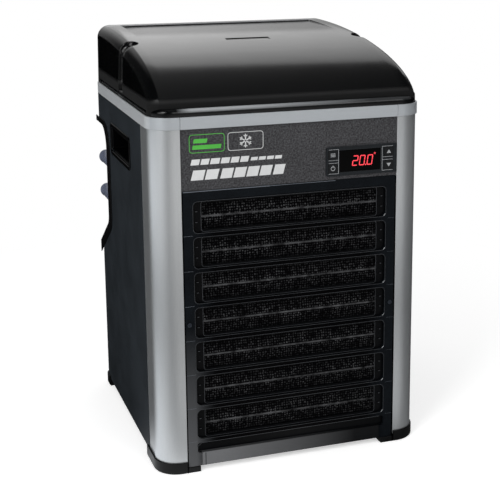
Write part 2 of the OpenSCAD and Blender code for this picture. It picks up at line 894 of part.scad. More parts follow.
// Controller: face plate and box, pierced for its keys
function key_places() = [
  [keys_left_x, key_high_z], [keys_left_x, key_low_z],
  [keys_right_x, key_high_z], [keys_right_x, key_low_z]
];
module key_outline(place, grow) {
  translate([place.x + key_w / 2, place.y + key_h / 2])
    round_rect(key_w + 2 * grow, key_h + 2 * grow, key_r + grow);
}
module face_outline(w, h, r) {
  translate([ctrl_x + ctrl_w / 2, ctrl_z + ctrl_h / 2]) round_rect(w, h, r);
}
module controller() {
  y0 = front_y + panel_set - ctrl_proud - ctrl_face_t / 2;
  y1 = front_y + panel_set;
  color("#17181a") difference() {
    union() {
      upright(y0, y1) face_outline(ctrl_w, ctrl_h, ctrl_r);
      upright(y1, y1 + ctrl_d)
        face_outline(ctrl_w - 2 * box_inset - 2 * seam, ctrl_h - 2 * box_inset - 2 * seam, ctrl_r);
    }
    upright(y0 - over, y0 + window_dip)
      translate([ctrl_x + window_x, ctrl_z + (ctrl_h - window_h) / 2])
        square([window_w, window_h]);
    for (place = key_places())
      upright(y0 - over, y0 + key_t + key_travel + key_gap) key_outline(place, key_gap);
  }
}
module display_window() {
  y0 = front_y + panel_set - ctrl_proud - ctrl_face_t / 2;
  color("#0a0505") upright(y0, y0 + window_dip)
    translate([ctrl_x + window_x + seam / 2, ctrl_z + (ctrl_h - window_h) / 2 + seam / 2])
      square([window_w - seam, window_h - seam]);
}
module key(i) {
  y0 = front_y + panel_set - ctrl_proud - ctrl_face_t / 2 - key_proud;
  color("#202224") upright(y0, y0 + key_t) key_outline(key_places()[i], 0);
}
module key_set() { key(0); }
module key_power() { key(1); }
module key_up() { key(2); }
module key_down() { key(3); }

// Grille: a moulded face with full slots, a short slot and a notch for the filter's lip
module slot_outline(z_top, h, grow) {
  translate([0, z_top - h / 2]) round_rect(slot_w + 2 * grow, h + 2 * grow, slot_r + grow);
}
module grille() {
  x = opening_w / 2;
  last_top = slot_top - slots * pitch;
  color("#14191c") difference() {
    upright(grille_face, grille_back)
      translate([0, (grille_z + grille_top) / 2]) round_rect(2 * x, grille_top - grille_z, grille_r);
    block([-x + grille_wall, grille_face + grille_t, grille_z - over],
          [x - grille_wall, grille_back + over, grille_top - grille_wall]);
    upright(grille_face - over, grille_face + grille_t + over) {
      for (i = [0:slots - 1]) slot_outline(slot_top - i * pitch, slot_h, 0);
      translate([0, last_top - short_h / 2]) round_rect(slot_w, short_h, short_h / 4);
      translate([-lip_w / 2 - play, grille_z - over])
        square([lip_w + 2 * play, last_top - short_h / 2 - grille_z]);
    }
    for (side = [-1, 1])
      rod_y(side * pin_x, pin_z, grille_face - over, grille_face + grille_t + over, pin_r + play);
  }
}
module grille_pins() {
  color("#3c4043") for (side = [-1, 1]) difference() {
    union() {
      rod_y(side * pin_x, pin_z, grille_face - pin_dome, grille_face, pin_head_r);
      rod_y(side * pin_x, pin_z, grille_face, grille_back, pin_r);
    }
    rod_y(side * pin_x, pin_z, grille_face - pin_dome - over, grille_face - pin_dome / 2, pin_r / 2);
  }
}

// Filter frame: windows behind the slots, ticks at their ends and the lip below
module filter_frame() {
  top = slot_top + margin_z;
  color("#0d1012") difference() {
    union() {
      upright(frame_y, frame_y + frame_t) difference() {
        translate([-frame_x + grille_wall / 2, grille_z + tab_h])
          square([2 * frame_x - grille_wall, top - grille_z - tab_h]);
        for (i = [0:slots - 1])
          translate([0, slot_top - i * pitch - slot_h / 2])
            round_rect(slot_w - 2 * margin_x, slot_h - 2 * margin_z, slot_r - margin_z);
      }
      block([-lip_w / 2, grille_face + play, grille_z - seam],
            [lip_w / 2, frame_y + frame_t, grille_z + tab_h]);
      for (i = [0:slots - 1], side = [-1, 1], tick = [1, 2])
        block([side * (slot_w - margin_x) / 2 - margin_z / 2, frame_y - seam - mesh_t,
               slot_top - i * pitch - slot_h * tick / 3 - mesh_t / 2],
              [side * (slot_w - margin_x) / 2 + margin_z / 2, frame_y + mesh_t,
               slot_top - i * pitch - slot_h * tick / 3 + mesh_t / 2]);
    }
    block([-lip_w / 2 + tab_r, grille_face + play + tab_r, grille_z - over],
          [lip_w / 2 - tab_r, frame_y - seam, grille_z + tab_h - tab_r]);
  }
}

// Filter mesh: a folded net, swelling forward behind each slot
module filter_mesh() {
  y0 = frame_y + frame_t;
  low = slot_top - (slots - 1) * pitch - slot_h;
  edge = slot_r;
  front = [for (i = [0:slots - 1])
    let (z = slot_top - i * pitch)
    each [[y0, z - edge], [y0 - swell, z - slot_h / 2], [y0, z - slot_h + edge]]];
  back = [for (i = [slots - 1:-1:0])
    let (z = slot_top - i * pitch)
    each [[y0 + mesh_t, z - slot_h + edge], [y0 - swell + mesh_t, z - slot_h / 2],
          [y0 + mesh_t, z - edge]]];
  w = slot_w - 2 * margin_x - 2 * play;
  color("#0b0c0d") translate([-w / 2, 0, 0]) rotate([90, 0, 90]) linear_extrude(w)
    polygon(concat([[y0, slot_top]], front, [[y0, low], [y0 + mesh_t, low]],
                   back, [[y0 + mesh_t, slot_top]]));
}

// Fixed water socket: a collar through the bay's wall and a spigot for the elbow
module water_socket(z) {
  color("#2b2d30") difference() {
    union() {
      rod_y(elbow_at, z, bay_y - bay_t, socket_end, socket_r);
      rod_y(elbow_at, z, bay_y + nut_seat(z), bay_y + nut_seat(z) + nut_t, nut_r);
      rod_y(elbow_at, z, socket_end, spigot_end, spigot_r);
    }
    rod_y(elbow_at, z, bay_y - bay_t - over, spigot_end + over, water_r);
    difference() {
      rod_y(elbow_at, z, spigot_end - seal_back, spigot_end - seal_back + seal_t + seam, spigot_r + over);
      rod_y(elbow_at, z, socket_end, spigot_end, spigot_r - seal_t);
    }
  }
}
module water_socket_upper() { water_socket(elbow_zs[1]); }
module water_socket_lower() { water_socket(elbow_zs[0]); }
module elbow_seals() {
  color("black") for (z = elbow_zs)
    translate([elbow_at, spigot_end - seal_back + (seal_t + seam) / 2, z]) rotate([90, 0, 0])
      rotate_extrude() translate([spigot_r - seal_t / 2, 0]) circle(seal_t / 2);
}

// Swivel elbow: a round body that turns on the spigot, with a hose tail to one side
module elbow(z) {
  color("#3c4048") difference() {
    union() {
      translate([elbow_at, elbow_y, z]) rotate([0, 180, 0]) rotate([-90, 0, 0]) rotate_extrude() {
        intersection() {
          circle(ball_r);
          translate([0, -ball_r]) square([ball_r, 2 * ball_r]);
        }
        translate([0, socket_end + play - elbow_y]) square([collar_r, elbow_y - socket_end - play]);
      }
      translate([elbow_at, elbow_y, z]) rotate([0, 90, 0]) {
        cylinder(h = tail_l - tail_edge, r = tail_r);
        translate([0, 0, tail_l - tail_edge])
          cylinder(h = tail_edge, r1 = tail_r, r2 = tail_r - tail_edge);
        cylinder(h = ball_r + tail_edge, r = tail_root_r);
      }
    }
    rod_y(elbow_at, z, socket_end - over, spigot_end + play, spigot_r + fit);
    rod_y(elbow_at, z, spigot_end - over, elbow_y + way_r, way_r);
    translate([elbow_at, elbow_y, z]) rotate([0, 90, 0]) cylinder(h = tail_l + over, r = water_r);
  }
}
module elbow_upper() { elbow(elbow_zs[1]); }
module elbow_lower() { elbow(elbow_zs[0]); }

// Condenser: plate fins on straight tubes, joined by return bends at both ends
module condenser_fins() {
  color("lightgray") for (i = [0:fins])
    translate([-end_x + i * fin_pitch - fin_t / 2, 0, 0]) rotate([90, 0, 90])
      linear_extrude(fin_t) difference() {
        translate([coil_front, coil_z]) square([coil_d, coil_top - coil_z]);
        for (k = [0:tubes - 1]) translate([coil_mid, tube_z(k)]) circle(tube_r + fit, $fn = 24);
      }
}
module condenser_tubes() {
  color("#b5723c") for (k = [0:tubes - 1]) translate([-tube_reach, coil_mid, tube_z(k)])
    rotate([0, 90, 0]) cylinder(h = 2 * tube_reach, r = tube_r);
}
module return_bends() {
  color("#b5723c") for (k = [0:tubes - 2]) {
      side = k % 2 == 0 ? 1 : -1;
      translate([side * tube_reach, coil_mid, tube_z(k) + tube_pitch / 2])
        rotate([90, 0, 0]) rotate([0, 0, side > 0 ? -90 : 90])
          rotate_extrude(angle = 180) translate([tube_pitch / 2, 0]) circle(tube_r);
  }
}

// Fan shroud: a plate on the condenser's back with a round inlet ring
module fan_shroud() {
  color("#1e2022") difference() {
    union() {
      upright(shroud_y, shroud_y + sheet_t)
        translate([-shroud_x, tray_z]) square([2 * shroud_x, coil_top - tray_z]);
      rod_y(0, fan_z, shroud_y, shroud_y + ring_d, ring_r + ring_t);
    }
    rod_y(0, fan_z, shroud_y - over, shroud_y + ring_d + over, ring_r);
  }
}
module fan_bracket() {
  color("gray") {
    difference() {
      rod_y(0, fan_z, bracket_y, bracket_y + arm_w, motor_r + arm_t);
      rod_y(0, fan_z, bracket_y - over, bracket_y + arm_w + over, motor_r + fit);
    }
    for (a = [45:90:315]) translate([0, 0, fan_z]) rotate([0, a, 0]) {
      block([motor_r + arm_t / 2, bracket_y, -arm_w / 2], [arm_r, bracket_y + arm_t, arm_w / 2]);
      block([arm_r - arm_t, shroud_y + sheet_t, -arm_w / 2], [arm_r, bracket_y + arm_t, arm_w / 2]);
    }
  }
}
module fan_motor() {
  color("#303234") difference() {
    union() {
      rod_y(0, fan_z, motor_y, motor_y + motor_l, motor_r);
      rod_y(0, fan_z, motor_y - arm_t, motor_y, motor_r / 2);
    }
    rod_y(0, fan_z, motor_y - arm_t - over, motor_y + motor_l / 2, shaft_r + fit);
  }
}
module fan() {
  color("#26282a") {
    rod_y(0, fan_z, fan_y - hub_d / 2, fan_y + hub_d / 2, hub_r);
    rod_y(0, fan_z, fan_y, motor_y + motor_l / 2 - over, shaft_r);
    for (i = [0:blades - 1]) translate([0, fan_y, fan_z]) rotate([0, i * 360 / blades, 0])
      intersection() {
        rotate([90, 0, 0]) cylinder(h = ring_d, r = fan_r, center = true);
        translate([hub_r - blade_t, 0, 0]) rotate([blade_pitch, 0, 0])
          block([0, -blade_t / 2, -blade_w / 2], [fan_r, blade_t / 2, blade_w / 2]);
      }
  }
}

// Compressor: a drawn steel shell with a weld seam, on three legs
module shell(r, h, fillet) {
  rotate_extrude() {
    square([r - fillet, h]);
    translate([0, fillet]) square([r, h - 2 * fillet]);
    for (z = [fillet, h - fillet]) intersection() {
      translate([r - fillet, z]) circle(fillet);
      square([r, h]);
    }
  }
}
function leg_angles() = [45, 135, 225, 315];
module compressor() {
  color("#0e0e0f") {
    translate([pump_x, pump_y, pump_z]) {
      shell(pump_r, pump_h, pump_fillet);
      translate([0, 0, pump_h * weld_share]) cylinder(h = weld_t, r = pump_r + weld_lip);
      translate([pump_r / 2, 0, pump_h - weld_t]) cylinder(h = pump_stub_h, r = pipe_r + weld_t / 2);
      translate([-pump_r / 2, 0, pump_h - weld_t]) cylinder(h = pump_stub_h, r = pipe_r + weld_t / 2);
    }
    difference() {
      translate([pump_x, pump_y, pump_z - leg_t]) linear_extrude(leg_t)
        round_rect(2 * (grommet_reach + grommet_r), 2 * (grommet_reach + grommet_r), grommet_r);
      for (a = leg_angles())
        translate([pump_x + grommet_reach * sign(cos(a)), pump_y + grommet_reach * sign(sin(a)),
                   pump_z - leg_t - over])
          cylinder(h = leg_t + 2 * over, r = grommet_r / 2);
    }
  }
}
module terminal_cover() {
  color("#1c1c1e") difference() {
    translate([pump_x, pump_y, pump_z + pump_h * cover_shares[0]])
      block([pump_r / 2, -pump_r / 3, 0],
            [pump_r + grommet_h, pump_r / 3, pump_h * (cover_shares[1] - cover_shares[0])]);
    translate([pump_x, pump_y, pump_z]) cylinder(h = pump_h, r = pump_r);
  }
}
module grommets() {
  color("black") for (a = leg_angles())
    translate([pump_x + grommet_reach * sign(cos(a)), pump_y + grommet_reach * sign(sin(a)), tray_z])
      rotate_extrude() difference() {
        union() {
          square([grommet_r, grommet_h]);
          square([grommet_r / 2 - play / 2, grommet_h + leg_t]);
        }
        translate([grommet_r, grommet_h / 2]) circle(leg_t / 2);
      }
}

// Copper pipes between compressor, condenser, drier and vessel
module discharge_pipe() {
  x0 = pump_x + pump_r / 2;
  x1 = shroud_x + bend_r;
  y1 = box_y - 2 * bend_r;
  color("#b5723c") pipe([
    [x0, pump_y, pump_top], [x0, pump_y, pipe_high], [x0, y1, pipe_high], [x1, y1, pipe_high],
    [x1, coil_mid, pipe_high], [x1, coil_mid, tube_z(tubes - 1)],
    [tube_reach, coil_mid, tube_z(tubes - 1)]
  ], pipe_r, bend_r / 2);
}
module liquid_pipe() {
  x1 = -shroud_x - bend_r;
  y1 = drier_y;
  color("#b5723c") pipe([
    [-tube_reach, coil_mid, tube_z(0)], [x1, coil_mid, tube_z(0)],
    [x1, coil_mid, tube_z(0) + 2 * bend_r], [x1, y1, tube_z(0) + 2 * bend_r],
    [drier_x, y1, tube_z(0) + 2 * bend_r], [drier_x, y1, drier_z]
  ], pipe_r, bend_r / 2);
}
module suction_pipe() {
  x0 = pump_x - pump_r / 2;
  color("#b5723c") {
    pipe([
      [x0, pump_y, pump_top], [x0, pump_y, pipe_high], [x0, vessel_y, pipe_high],
      [vessel_x + vessel_r, vessel_y, pipe_high]
    ], pipe_r, bend_r / 2);
    pipe([
      [drier_x, drier_y, drier_z + drier_h], [drier_x, drier_y, drier_z + drier_h + 2 * bend_r],
      [vessel_x, drier_y, drier_z + drier_h + 2 * bend_r],
      [vessel_x, vessel_y + vessel_r, drier_z + drier_h + 2 * bend_r]
    ], pipe_r, bend_r / 2);
  }
}
module filter_drier() {
  color("#b07040") translate([drier_x, drier_y, drier_z]) shell(drier_r, drier_h, drier_r / 2);
}

// Heat exchanger: an upright vessel on a bent steel stool
module vessel() {
  color("#2c3a44") {
    translate([vessel_x, vessel_y, vessel_z]) shell(vessel_r, vessel_h, vessel_fillet);
    translate([vessel_x, vessel_y, vessel_z + vessel_h * seam_share])
      cylinder(h = 2 * weld_t, r = vessel_r + weld_lip);
  }
}
module vessel_stool() {
  w = stool_w / 2;
  color("gray") translate([vessel_x, vessel_y + w, tray_z]) rotate([90, 0, 0])
    linear_extrude(stool_w) {
      for (side = [-1, 1]) {
        translate([side * w - stool_t / 2, 0]) square([stool_t, stool_h]);
        translate([side < 0 ? -w - stool_t / 2 : w - ledge_w + stool_t / 2, 0]) square([ledge_w, stool_t]);
      }
      translate([-w, stool_h - stool_t]) square([stool_w, stool_t]);
    }
}
module water_pipes() {
  color("#202326") for (z = elbow_zs)
    pipe([[vessel_x - vessel_r, vessel_y, z], [elbow_at, vessel_y, z], [elbow_at, bay_y - bay_t, z]],
         water_pipe_r, water_pipe_r + seam);
}
module temperature_probe() {
  color("#50565c") translate([vessel_x, vessel_y, vessel_z + vessel_h]) {
    cylinder(h = probe_h / 2, r = 2 * probe_r, $fn = 6);
    cylinder(h = probe_h, r = probe_r);
  }
}

// Control box on the right side panel
module control_box() {
  x1 = side_x - sheet_t;
  color("#e0e0da") difference() {
    block([x1 - box_d, box_y, box_z], [x1, box_y + box_l, box_z + box_h]);
    block([x1 - box_d + box_t, box_y + box_t, box_z + box_t],
          [x1 + over, box_y + box_l - box_t, box_z + box_h - box_t]);
  }
}

base_tray();
foot_front_left();
foot_front_right();
foot_rear_left();
foot_rear_right();
pillar_left();
pillar_right();
side_panel_left();
side_panel_right();
hand_hold_left();
hand_hold_right();
rear_cover();
rear_cover_screws();
rail_front();
rail_left();
rail_right();
rail_rear();
top_plate();
hood();
front_panel();
controller();
display_window();
key_set();
key_power();
key_up();
key_down();
grille();
grille_pins();
filter_frame();
filter_mesh();
connector_bay();
water_socket_upper();
water_socket_lower();
elbow_seals();
elbow_upper();
elbow_lower();
mains_gland();
condenser_fins();
condenser_tubes();
return_bends();
fan_shroud();
fan_bracket();
fan_motor();
fan();
compressor();
terminal_cover();
grommets();
discharge_pipe();
liquid_pipe();
suction_pipe();
filter_drier();
vessel();
vessel_stool();
water_pipes();
temperature_probe();
control_box();
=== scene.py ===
import json
import math

import bmesh
import bpy
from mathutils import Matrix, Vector

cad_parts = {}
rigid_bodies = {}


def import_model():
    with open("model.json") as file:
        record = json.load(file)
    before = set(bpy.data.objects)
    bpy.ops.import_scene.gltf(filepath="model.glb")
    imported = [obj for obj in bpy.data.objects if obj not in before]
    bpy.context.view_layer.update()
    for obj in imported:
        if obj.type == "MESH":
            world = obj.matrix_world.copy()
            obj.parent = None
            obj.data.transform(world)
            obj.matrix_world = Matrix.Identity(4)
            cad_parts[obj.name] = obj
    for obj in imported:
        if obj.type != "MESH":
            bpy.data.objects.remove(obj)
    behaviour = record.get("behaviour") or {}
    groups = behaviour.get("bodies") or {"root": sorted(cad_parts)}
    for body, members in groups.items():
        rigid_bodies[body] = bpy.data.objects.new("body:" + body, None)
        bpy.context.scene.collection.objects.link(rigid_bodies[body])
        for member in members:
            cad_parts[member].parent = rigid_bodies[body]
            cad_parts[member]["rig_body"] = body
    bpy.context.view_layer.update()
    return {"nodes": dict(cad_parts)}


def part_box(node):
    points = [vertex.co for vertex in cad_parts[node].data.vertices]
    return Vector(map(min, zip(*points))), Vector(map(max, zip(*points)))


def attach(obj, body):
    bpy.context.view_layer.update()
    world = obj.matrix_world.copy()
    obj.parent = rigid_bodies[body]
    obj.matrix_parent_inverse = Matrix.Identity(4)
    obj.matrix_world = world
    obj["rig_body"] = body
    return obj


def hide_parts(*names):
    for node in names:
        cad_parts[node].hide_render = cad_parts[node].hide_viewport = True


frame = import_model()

scene = bpy.context.scene
scene.view_settings.view_transform = "Standard"

# Camera
# A long lens from the front left, a little above the hood, at the photograph's
# distance. The lens is shifted, as there, so the uprights stay nearly upright.
camera_turn, camera_dip = 0.3492, 0.2240
sight = Vector((math.sin(camera_turn) * math.cos(camera_dip),
                math.cos(camera_turn) * math.cos(camera_dip), -math.sin(camera_dip)))
camera_data = bpy.data.cameras.new("camera")
camera_data.lens = 88.4
camera_data.sensor_width = 36
camera_data.shift_x, camera_data.shift_y = -0.12, -0.135
camera = bpy.data.objects.new("camera", camera_data)
scene.collection.objects.link(camera)
camera.location = (-0.5056, -1.6440, 0.7321)
camera.rotation_euler = sight.to_track_quat("-Z", "Y").to_euler()
scene.camera = camera


# Studio
# A white sweep, soft lamps on both sides of the camera and a bright wall behind,
# which the glossy hood mirrors towards its back. The ceiling is dark, as there.
def colour(code):
    """Linear colour of an sRGB hex value"""
    parts = [int(code[i:i + 2], 16) / 255 for i in (1, 3, 5)]
    return [p / 12.92 if p <= 0.04045 else ((p + 0.055) / 1.055) ** 2.4 for p in parts] + [1]


def add(tree, kind, inputs=None, **settings):
    """Adds one node with its settings; an input is a value or another node's output"""
    node = tree.nodes.new(kind)
    for name, value in settings.items():
        setattr(node, name, value)
    for name, value in (inputs or {}).items():
        if isinstance(value, bpy.types.NodeSocket):
            tree.links.new(value, node.inputs[name])
        else:
            node.inputs[name].default_value = value
    return node


def fades(tree, vector, spans):
    """Product of straight fades along axes: (axis, from, to, share at from, share at to)"""
    parts = add(tree, "ShaderNodeSeparateXYZ", {"Vector": vector})
    share = 1.0
    for axis, start, end, first, last in spans:
        fade = add(tree, "ShaderNodeMapRange", {
            "Value": parts.outputs[axis], "From Min": start, "From Max": end,
            "To Min": first, "To Max": last})
        share = add(tree, "ShaderNodeMath", {0: share, 1: fade.outputs[0]},
                    operation="MULTIPLY").outputs[0]
    return share


# The wall stands behind and a little to the right, up to 60 degrees, and a weak
# glow above it lights the hood's top. Both end to the left, where the side is dark.
sky = bpy.data.worlds.new("studio")
scene.world = sky
sky.use_nodes = True
tree = sky.node_tree
tree.nodes.clear()
rays = add(tree, "ShaderNodeLightPath")
mirrored = add(tree, "ShaderNodeMath", {0: rays.outputs["Is Glossy Ray"],
                                        1: rays.outputs["Is Transmission Ray"]}, operation="ADD")
seen = add(tree, "ShaderNodeMath", {0: rays.outputs["Is Camera Ray"], 1: mirrored.outputs[0]},
           operation="ADD", use_clamp=True)
aim = add(tree, "ShaderNodeTexCoord").outputs["Generated"]
not_left = [("X", -0.27, 0.03, 0.02, 1.0), ("X", 0.22, 0.5, 1.0, 0.2)]
wall = fades(tree, aim, [("Y", 0.3, 0.75, 0.03, 0.72), ("Z", 0.45, 0.85, 1.0, 0.0)] + not_left)
above = fades(tree, aim, [("Z", 0.1, 0.4, 0.0, 0.17)] + not_left)
room = add(tree, "ShaderNodeMath", {0: wall, 1: above}, operation="MAXIMUM")
backdrop = add(tree, "ShaderNodeMix", {
    "Factor": rays.outputs["Is Camera Ray"], "A": room.outputs[0], "B": 1.0})
power = add(tree, "ShaderNodeMix", {
    "Factor": seen.outputs[0], "A": 0.45, "B": backdrop.outputs[0]})
white = add(tree, "ShaderNodeBackground", {"Color": (1, 1, 1, 1), "Strength": power.outputs[0]})
add(tree, "ShaderNodeOutputWorld", {"Surface": white.outputs[0]})


def lamp(name, place, aim, width, height, watts):
    """A rectangular soft lamp, hidden from the camera, that looks at a point"""
    data = bpy.data.lights.new(name, "AREA")
    data.shape = "RECTANGLE"
    data.size, data.size_y = width, height
    data.energy = watts
    light = bpy.data.objects.new(name, data)
    scene.collection.objects.link(light)
    light.location = place
    light.rotation_euler = (Vector(aim) - Vector(place)).to_track_quat("-Z", "Y").to_euler()
    light.visible_camera = False


lamp("lamp_left", (-2.4, -1.9, 1.3), (0, 0, 0.25), 1.6, 1.8, 25)
lamp("lamp_front", (0.9, -2.8, 1.5), (0, 0, 0.25), 1.8, 1.6, 19)
lamp("wall_behind", (1.7, 3.0, 2.25), (0.3, 0.1, 0.55), 3.0, 1.9, 12)
lamp("lamp_spot", (-1.5, -1.5, 2.1), (0, 0, 0.4), 0.75, 0.75, 17)

floor_mesh = bpy.data.meshes.new("floor")
bm = bmesh.new()
bmesh.ops.create_grid(bm, x_segments=1, y_segments=1, size=40)
bm.to_mesh(floor_mesh)
bm.free()
floor = bpy.data.objects.new("floor", floor_mesh)
scene.collection.objects.link(floor)

# White paper that keeps the contact shadow and is blown out from 1 m on. What the
# metal mirrors of it is cards laid round the case's front: their light follows the
# bearing from the front edge, and their distance.
front_line, half_front = -0.17, 0.165
card_bearings = [  # degrees, light, warmth
    (-180, 0.0, 0.0), (-148, 0.02, 0.0), (-132, 0.45, -0.02), (-116, 1.0, -0.03),
    (-86, 1.0, -0.02), (-62, 0.82, -0.01), (-40, 0.48, 0.0), (-24, 0.38, 0.0),
    (-8, 0.62, 0.02), (10, 0.95, 0.02), (28, 0.6, 0.0), (60, 0.13, 0.0),
    (110, 0.03, 0.0), (150, 0.0, 0.0)]
card_reach = 4.0
card_distances = [  # metres, light
    (0.2, 1.1), (0.55, 0.66), (0.85, 0.2), (1.15, 0.28), (1.5, 1.25), (2.4, 1.4), (2.75, 0.12)]
sweep = bpy.data.materials.new("white_paper")
sweep.use_nodes = True
tree = sweep.node_tree
tree.nodes.clear()
rays = add(tree, "ShaderNodeLightPath")
ground = add(tree, "ShaderNodeTexCoord").outputs["Object"]
spot = add(tree, "ShaderNodeSeparateXYZ", {"Vector": ground})
away = add(tree, "ShaderNodeVectorMath", {0: ground}, operation="LENGTH")
far = add(tree, "ShaderNodeMapRange", {"Value": away.outputs["Value"], "From Min": 0.5,
                                      "From Max": 1.0})
paper = add(tree, "ShaderNodeBsdfDiffuse", {"Color": colour("#f2f2f2")})
glow = add(tree, "ShaderNodeEmission", {"Color": (1, 1, 1, 1), "Strength": 0.5})
lit = add(tree, "ShaderNodeAddShader", {0: paper.outputs[0], 1: glow.outputs[0]})
blown = add(tree, "ShaderNodeEmission", {"Color": (1, 1, 1, 1), "Strength": 1.0})
shown = add(tree, "ShaderNodeMixShader", {
    0: far.outputs[0], 1: lit.outputs[0], 2: blown.outputs[0]})
back = add(tree, "ShaderNodeMath", {0: front_line, 1: spot.outputs["Y"]}, operation="SUBTRACT")
corner = add(tree, "ShaderNodeMath", {0: spot.outputs["X"], 1: 0.5}, operation="MULTIPLY")
corner = add(tree, "ShaderNodeMath", {0: corner.outputs[0], 1: -half_front},
             operation="MAXIMUM")
corner = add(tree, "ShaderNodeMath", {0: corner.outputs[0], 1: half_front},
             operation="MINIMUM")
beside = add(tree, "ShaderNodeMath", {0: spot.outputs["X"], 1: corner.outputs[0]},
             operation="SUBTRACT")
bearing = add(tree, "ShaderNodeMath", {0: beside.outputs[0], 1: back.outputs[0]},
              operation="ARCTAN2")
turned = add(tree, "ShaderNodeMapRange", {"Value": bearing.outputs[0], "From Min": -math.pi,
                                         "From Max": math.pi})
share = add(tree, "ShaderNodeMath", {0: away.outputs["Value"], 1: 1 / card_reach},
            operation="MULTIPLY")
cards = add(tree, "ShaderNodeValToRGB", {"Fac": turned.outputs[0]})
near = add(tree, "ShaderNodeValToRGB", {"Fac": share.outputs[0]})
for ramp, places in (
        (cards.color_ramp, [((angle + 180) / 360, light, warm)
                            for angle, light, warm in card_bearings]),
        (near.color_ramp, [(metres / card_reach, light, 0.0)
                           for metres, light in card_distances])):
    while len(ramp.elements) < len(places):
        ramp.elements.new(0.5)
    for element, (position, light, warm) in zip(ramp.elements, places):
        element.position = position
        element.color = (light * (1 + warm), light, light * (1 - warm), 1)
mirrored = add(tree, "ShaderNodeEmission", {
    "Color": cards.outputs["Color"], "Strength": near.outputs["Color"]})
by_camera = add(tree, "ShaderNodeMixShader", {
    0: rays.outputs["Is Camera Ray"], 1: paper.outputs[0], 2: shown.outputs[0]})
by_gloss = add(tree, "ShaderNodeMixShader", {
    0: rays.outputs["Is Glossy Ray"], 1: by_camera.outputs[0], 2: mirrored.outputs[0]})
add(tree, "ShaderNodeOutputMaterial", {"Surface": by_gloss.outputs[0]})
floor_mesh.materials.append(sweep)


# Feet and tray
# Corner caps moulded in black nylon-filled plastic carry a pressed steel tray.
# The plastic is satin with a fine grain; the tray's paint has a light orange peel.
def blank(name):
    """A new material's name, tree and its place for a pattern, in metres on the object"""
    material = bpy.data.materials.new(name)
    material.use_nodes = True
    material.node_tree.nodes.clear()
    place = add(material.node_tree, "ShaderNodeTexCoord").outputs["Object"]
    return material, material.node_tree, place


def paler(tree, tone, place, code, spans):
    """A tone that gives way to another one where the fades say so"""
    return add(tree, "ShaderNodeMix", {"Factor": fades(tree, place, spans), "A": tone,
                                       "B": colour(code)}, data_type="RGBA").outputs["Result"]


def grained(name, dark, light, rough, grain, depth, shine=0.3, metal=0.0, cloud=0.4, painted_light=None):
    """Moulded or sprayed finish: a grain of so many metres, clouded over 40 mm"""
    material, tree, place = blank(name)
    fine = add(tree, "ShaderNodeTexNoise", {
        "Vector": place, "Scale": 1 / grain, "Detail": 3.0, "Roughness": 0.6})
    wide = add(tree, "ShaderNodeTexNoise", {"Vector": place, "Scale": 1 / 0.04, "Detail": 2.0})
    both = add(tree, "ShaderNodeMix", {
        "Factor": cloud, "A": fine.outputs["Fac"], "B": wide.outputs["Fac"]})
    spread = add(tree, "ShaderNodeMapRange", {
        "Value": both.outputs[0], "From Min": 0.3, "From Max": 0.7})
    tone = add(tree, "ShaderNodeMix", {"Factor": spread.outputs[0], "A": colour(dark),
                                       "B": colour(light)}, data_type="RGBA").outputs["Result"]
    # An optional paler tone laid on where its fades say so: painted light
    if painted_light:
        tone = paler(tree, tone, place, *painted_light)
    gloss = add(tree, "ShaderNodeMapRange", {
        "Value": wide.outputs["Fac"], "To Min": rough * 0.9, "To Max": rough * 1.1})
    bump = add(tree, "ShaderNodeBump", {
        "Height": fine.outputs["Fac"], "Strength": 0.5, "Distance": depth})
    skin = add(tree, "ShaderNodeBsdfPrincipled", {
        "Base Color": tone, "Roughness": gloss.outputs[0], "Metallic": metal,
        "Normal": bump.outputs[0]})
    if not metal:
        skin.inputs["Specular IOR Level"].default_value = shine
    add(tree, "ShaderNodeOutputMaterial", {"Surface": skin.outputs[0]})
    return material


def dress(node, material, edge):
    """A copy of a rigid CAD node with its doubles merged and its edges broken"""
    source, sharp = frame["nodes"][node], math.radians(30)
    mesh = bpy.data.meshes.new(node + "_shown")
    bm = bmesh.new()
    bm.from_mesh(source.data)
    bmesh.ops.remove_doubles(bm, verts=bm.verts, dist=0.00002)
    bmesh.ops.dissolve_limit(bm, angle_limit=math.radians(1), verts=bm.verts, edges=bm.edges)
    for face in bm.faces:
        face.smooth = True
        face.material_index = 0
    for rim in bm.edges:
        rim.smooth = rim.is_manifold and rim.calc_face_angle(0) < sharp
    bm.to_mesh(mesh)
    bm.free()
    piece = bpy.data.objects.new(node + "_shown", mesh)
    scene.collection.objects.link(piece)
    mesh.materials.append(material)
    broken = piece.modifiers.new("broken_edges", "BEVEL")
    broken.width = edge
    broken.segments = 2
    broken.limit_method = "ANGLE"
    broken.angle_limit = sharp
    broken.harden_normals = True
    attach(piece, source["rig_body"])
    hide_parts(node)


def coat_node(node, material):
    """A CAD node that stays as it is gets its finish"""
    mesh = frame["nodes"][node].data
    mesh.materials.clear()
    mesh.materials.append(material)


nylon = grained("moulded_nylon", "#070708", "#111213", 0.42, 0.0012, 0.00008, shine=0.22)
tray_paint = grained("powder_coated_steel", "#17191b", "#1f2224", 0.5, 0.0015, 0.0001)
for corner in ("front_left", "front_right", "rear_left", "rear_right"):
    dress("foot_" + corner, nylon, 0.0008)
coat_node("base_tray", tray_paint)


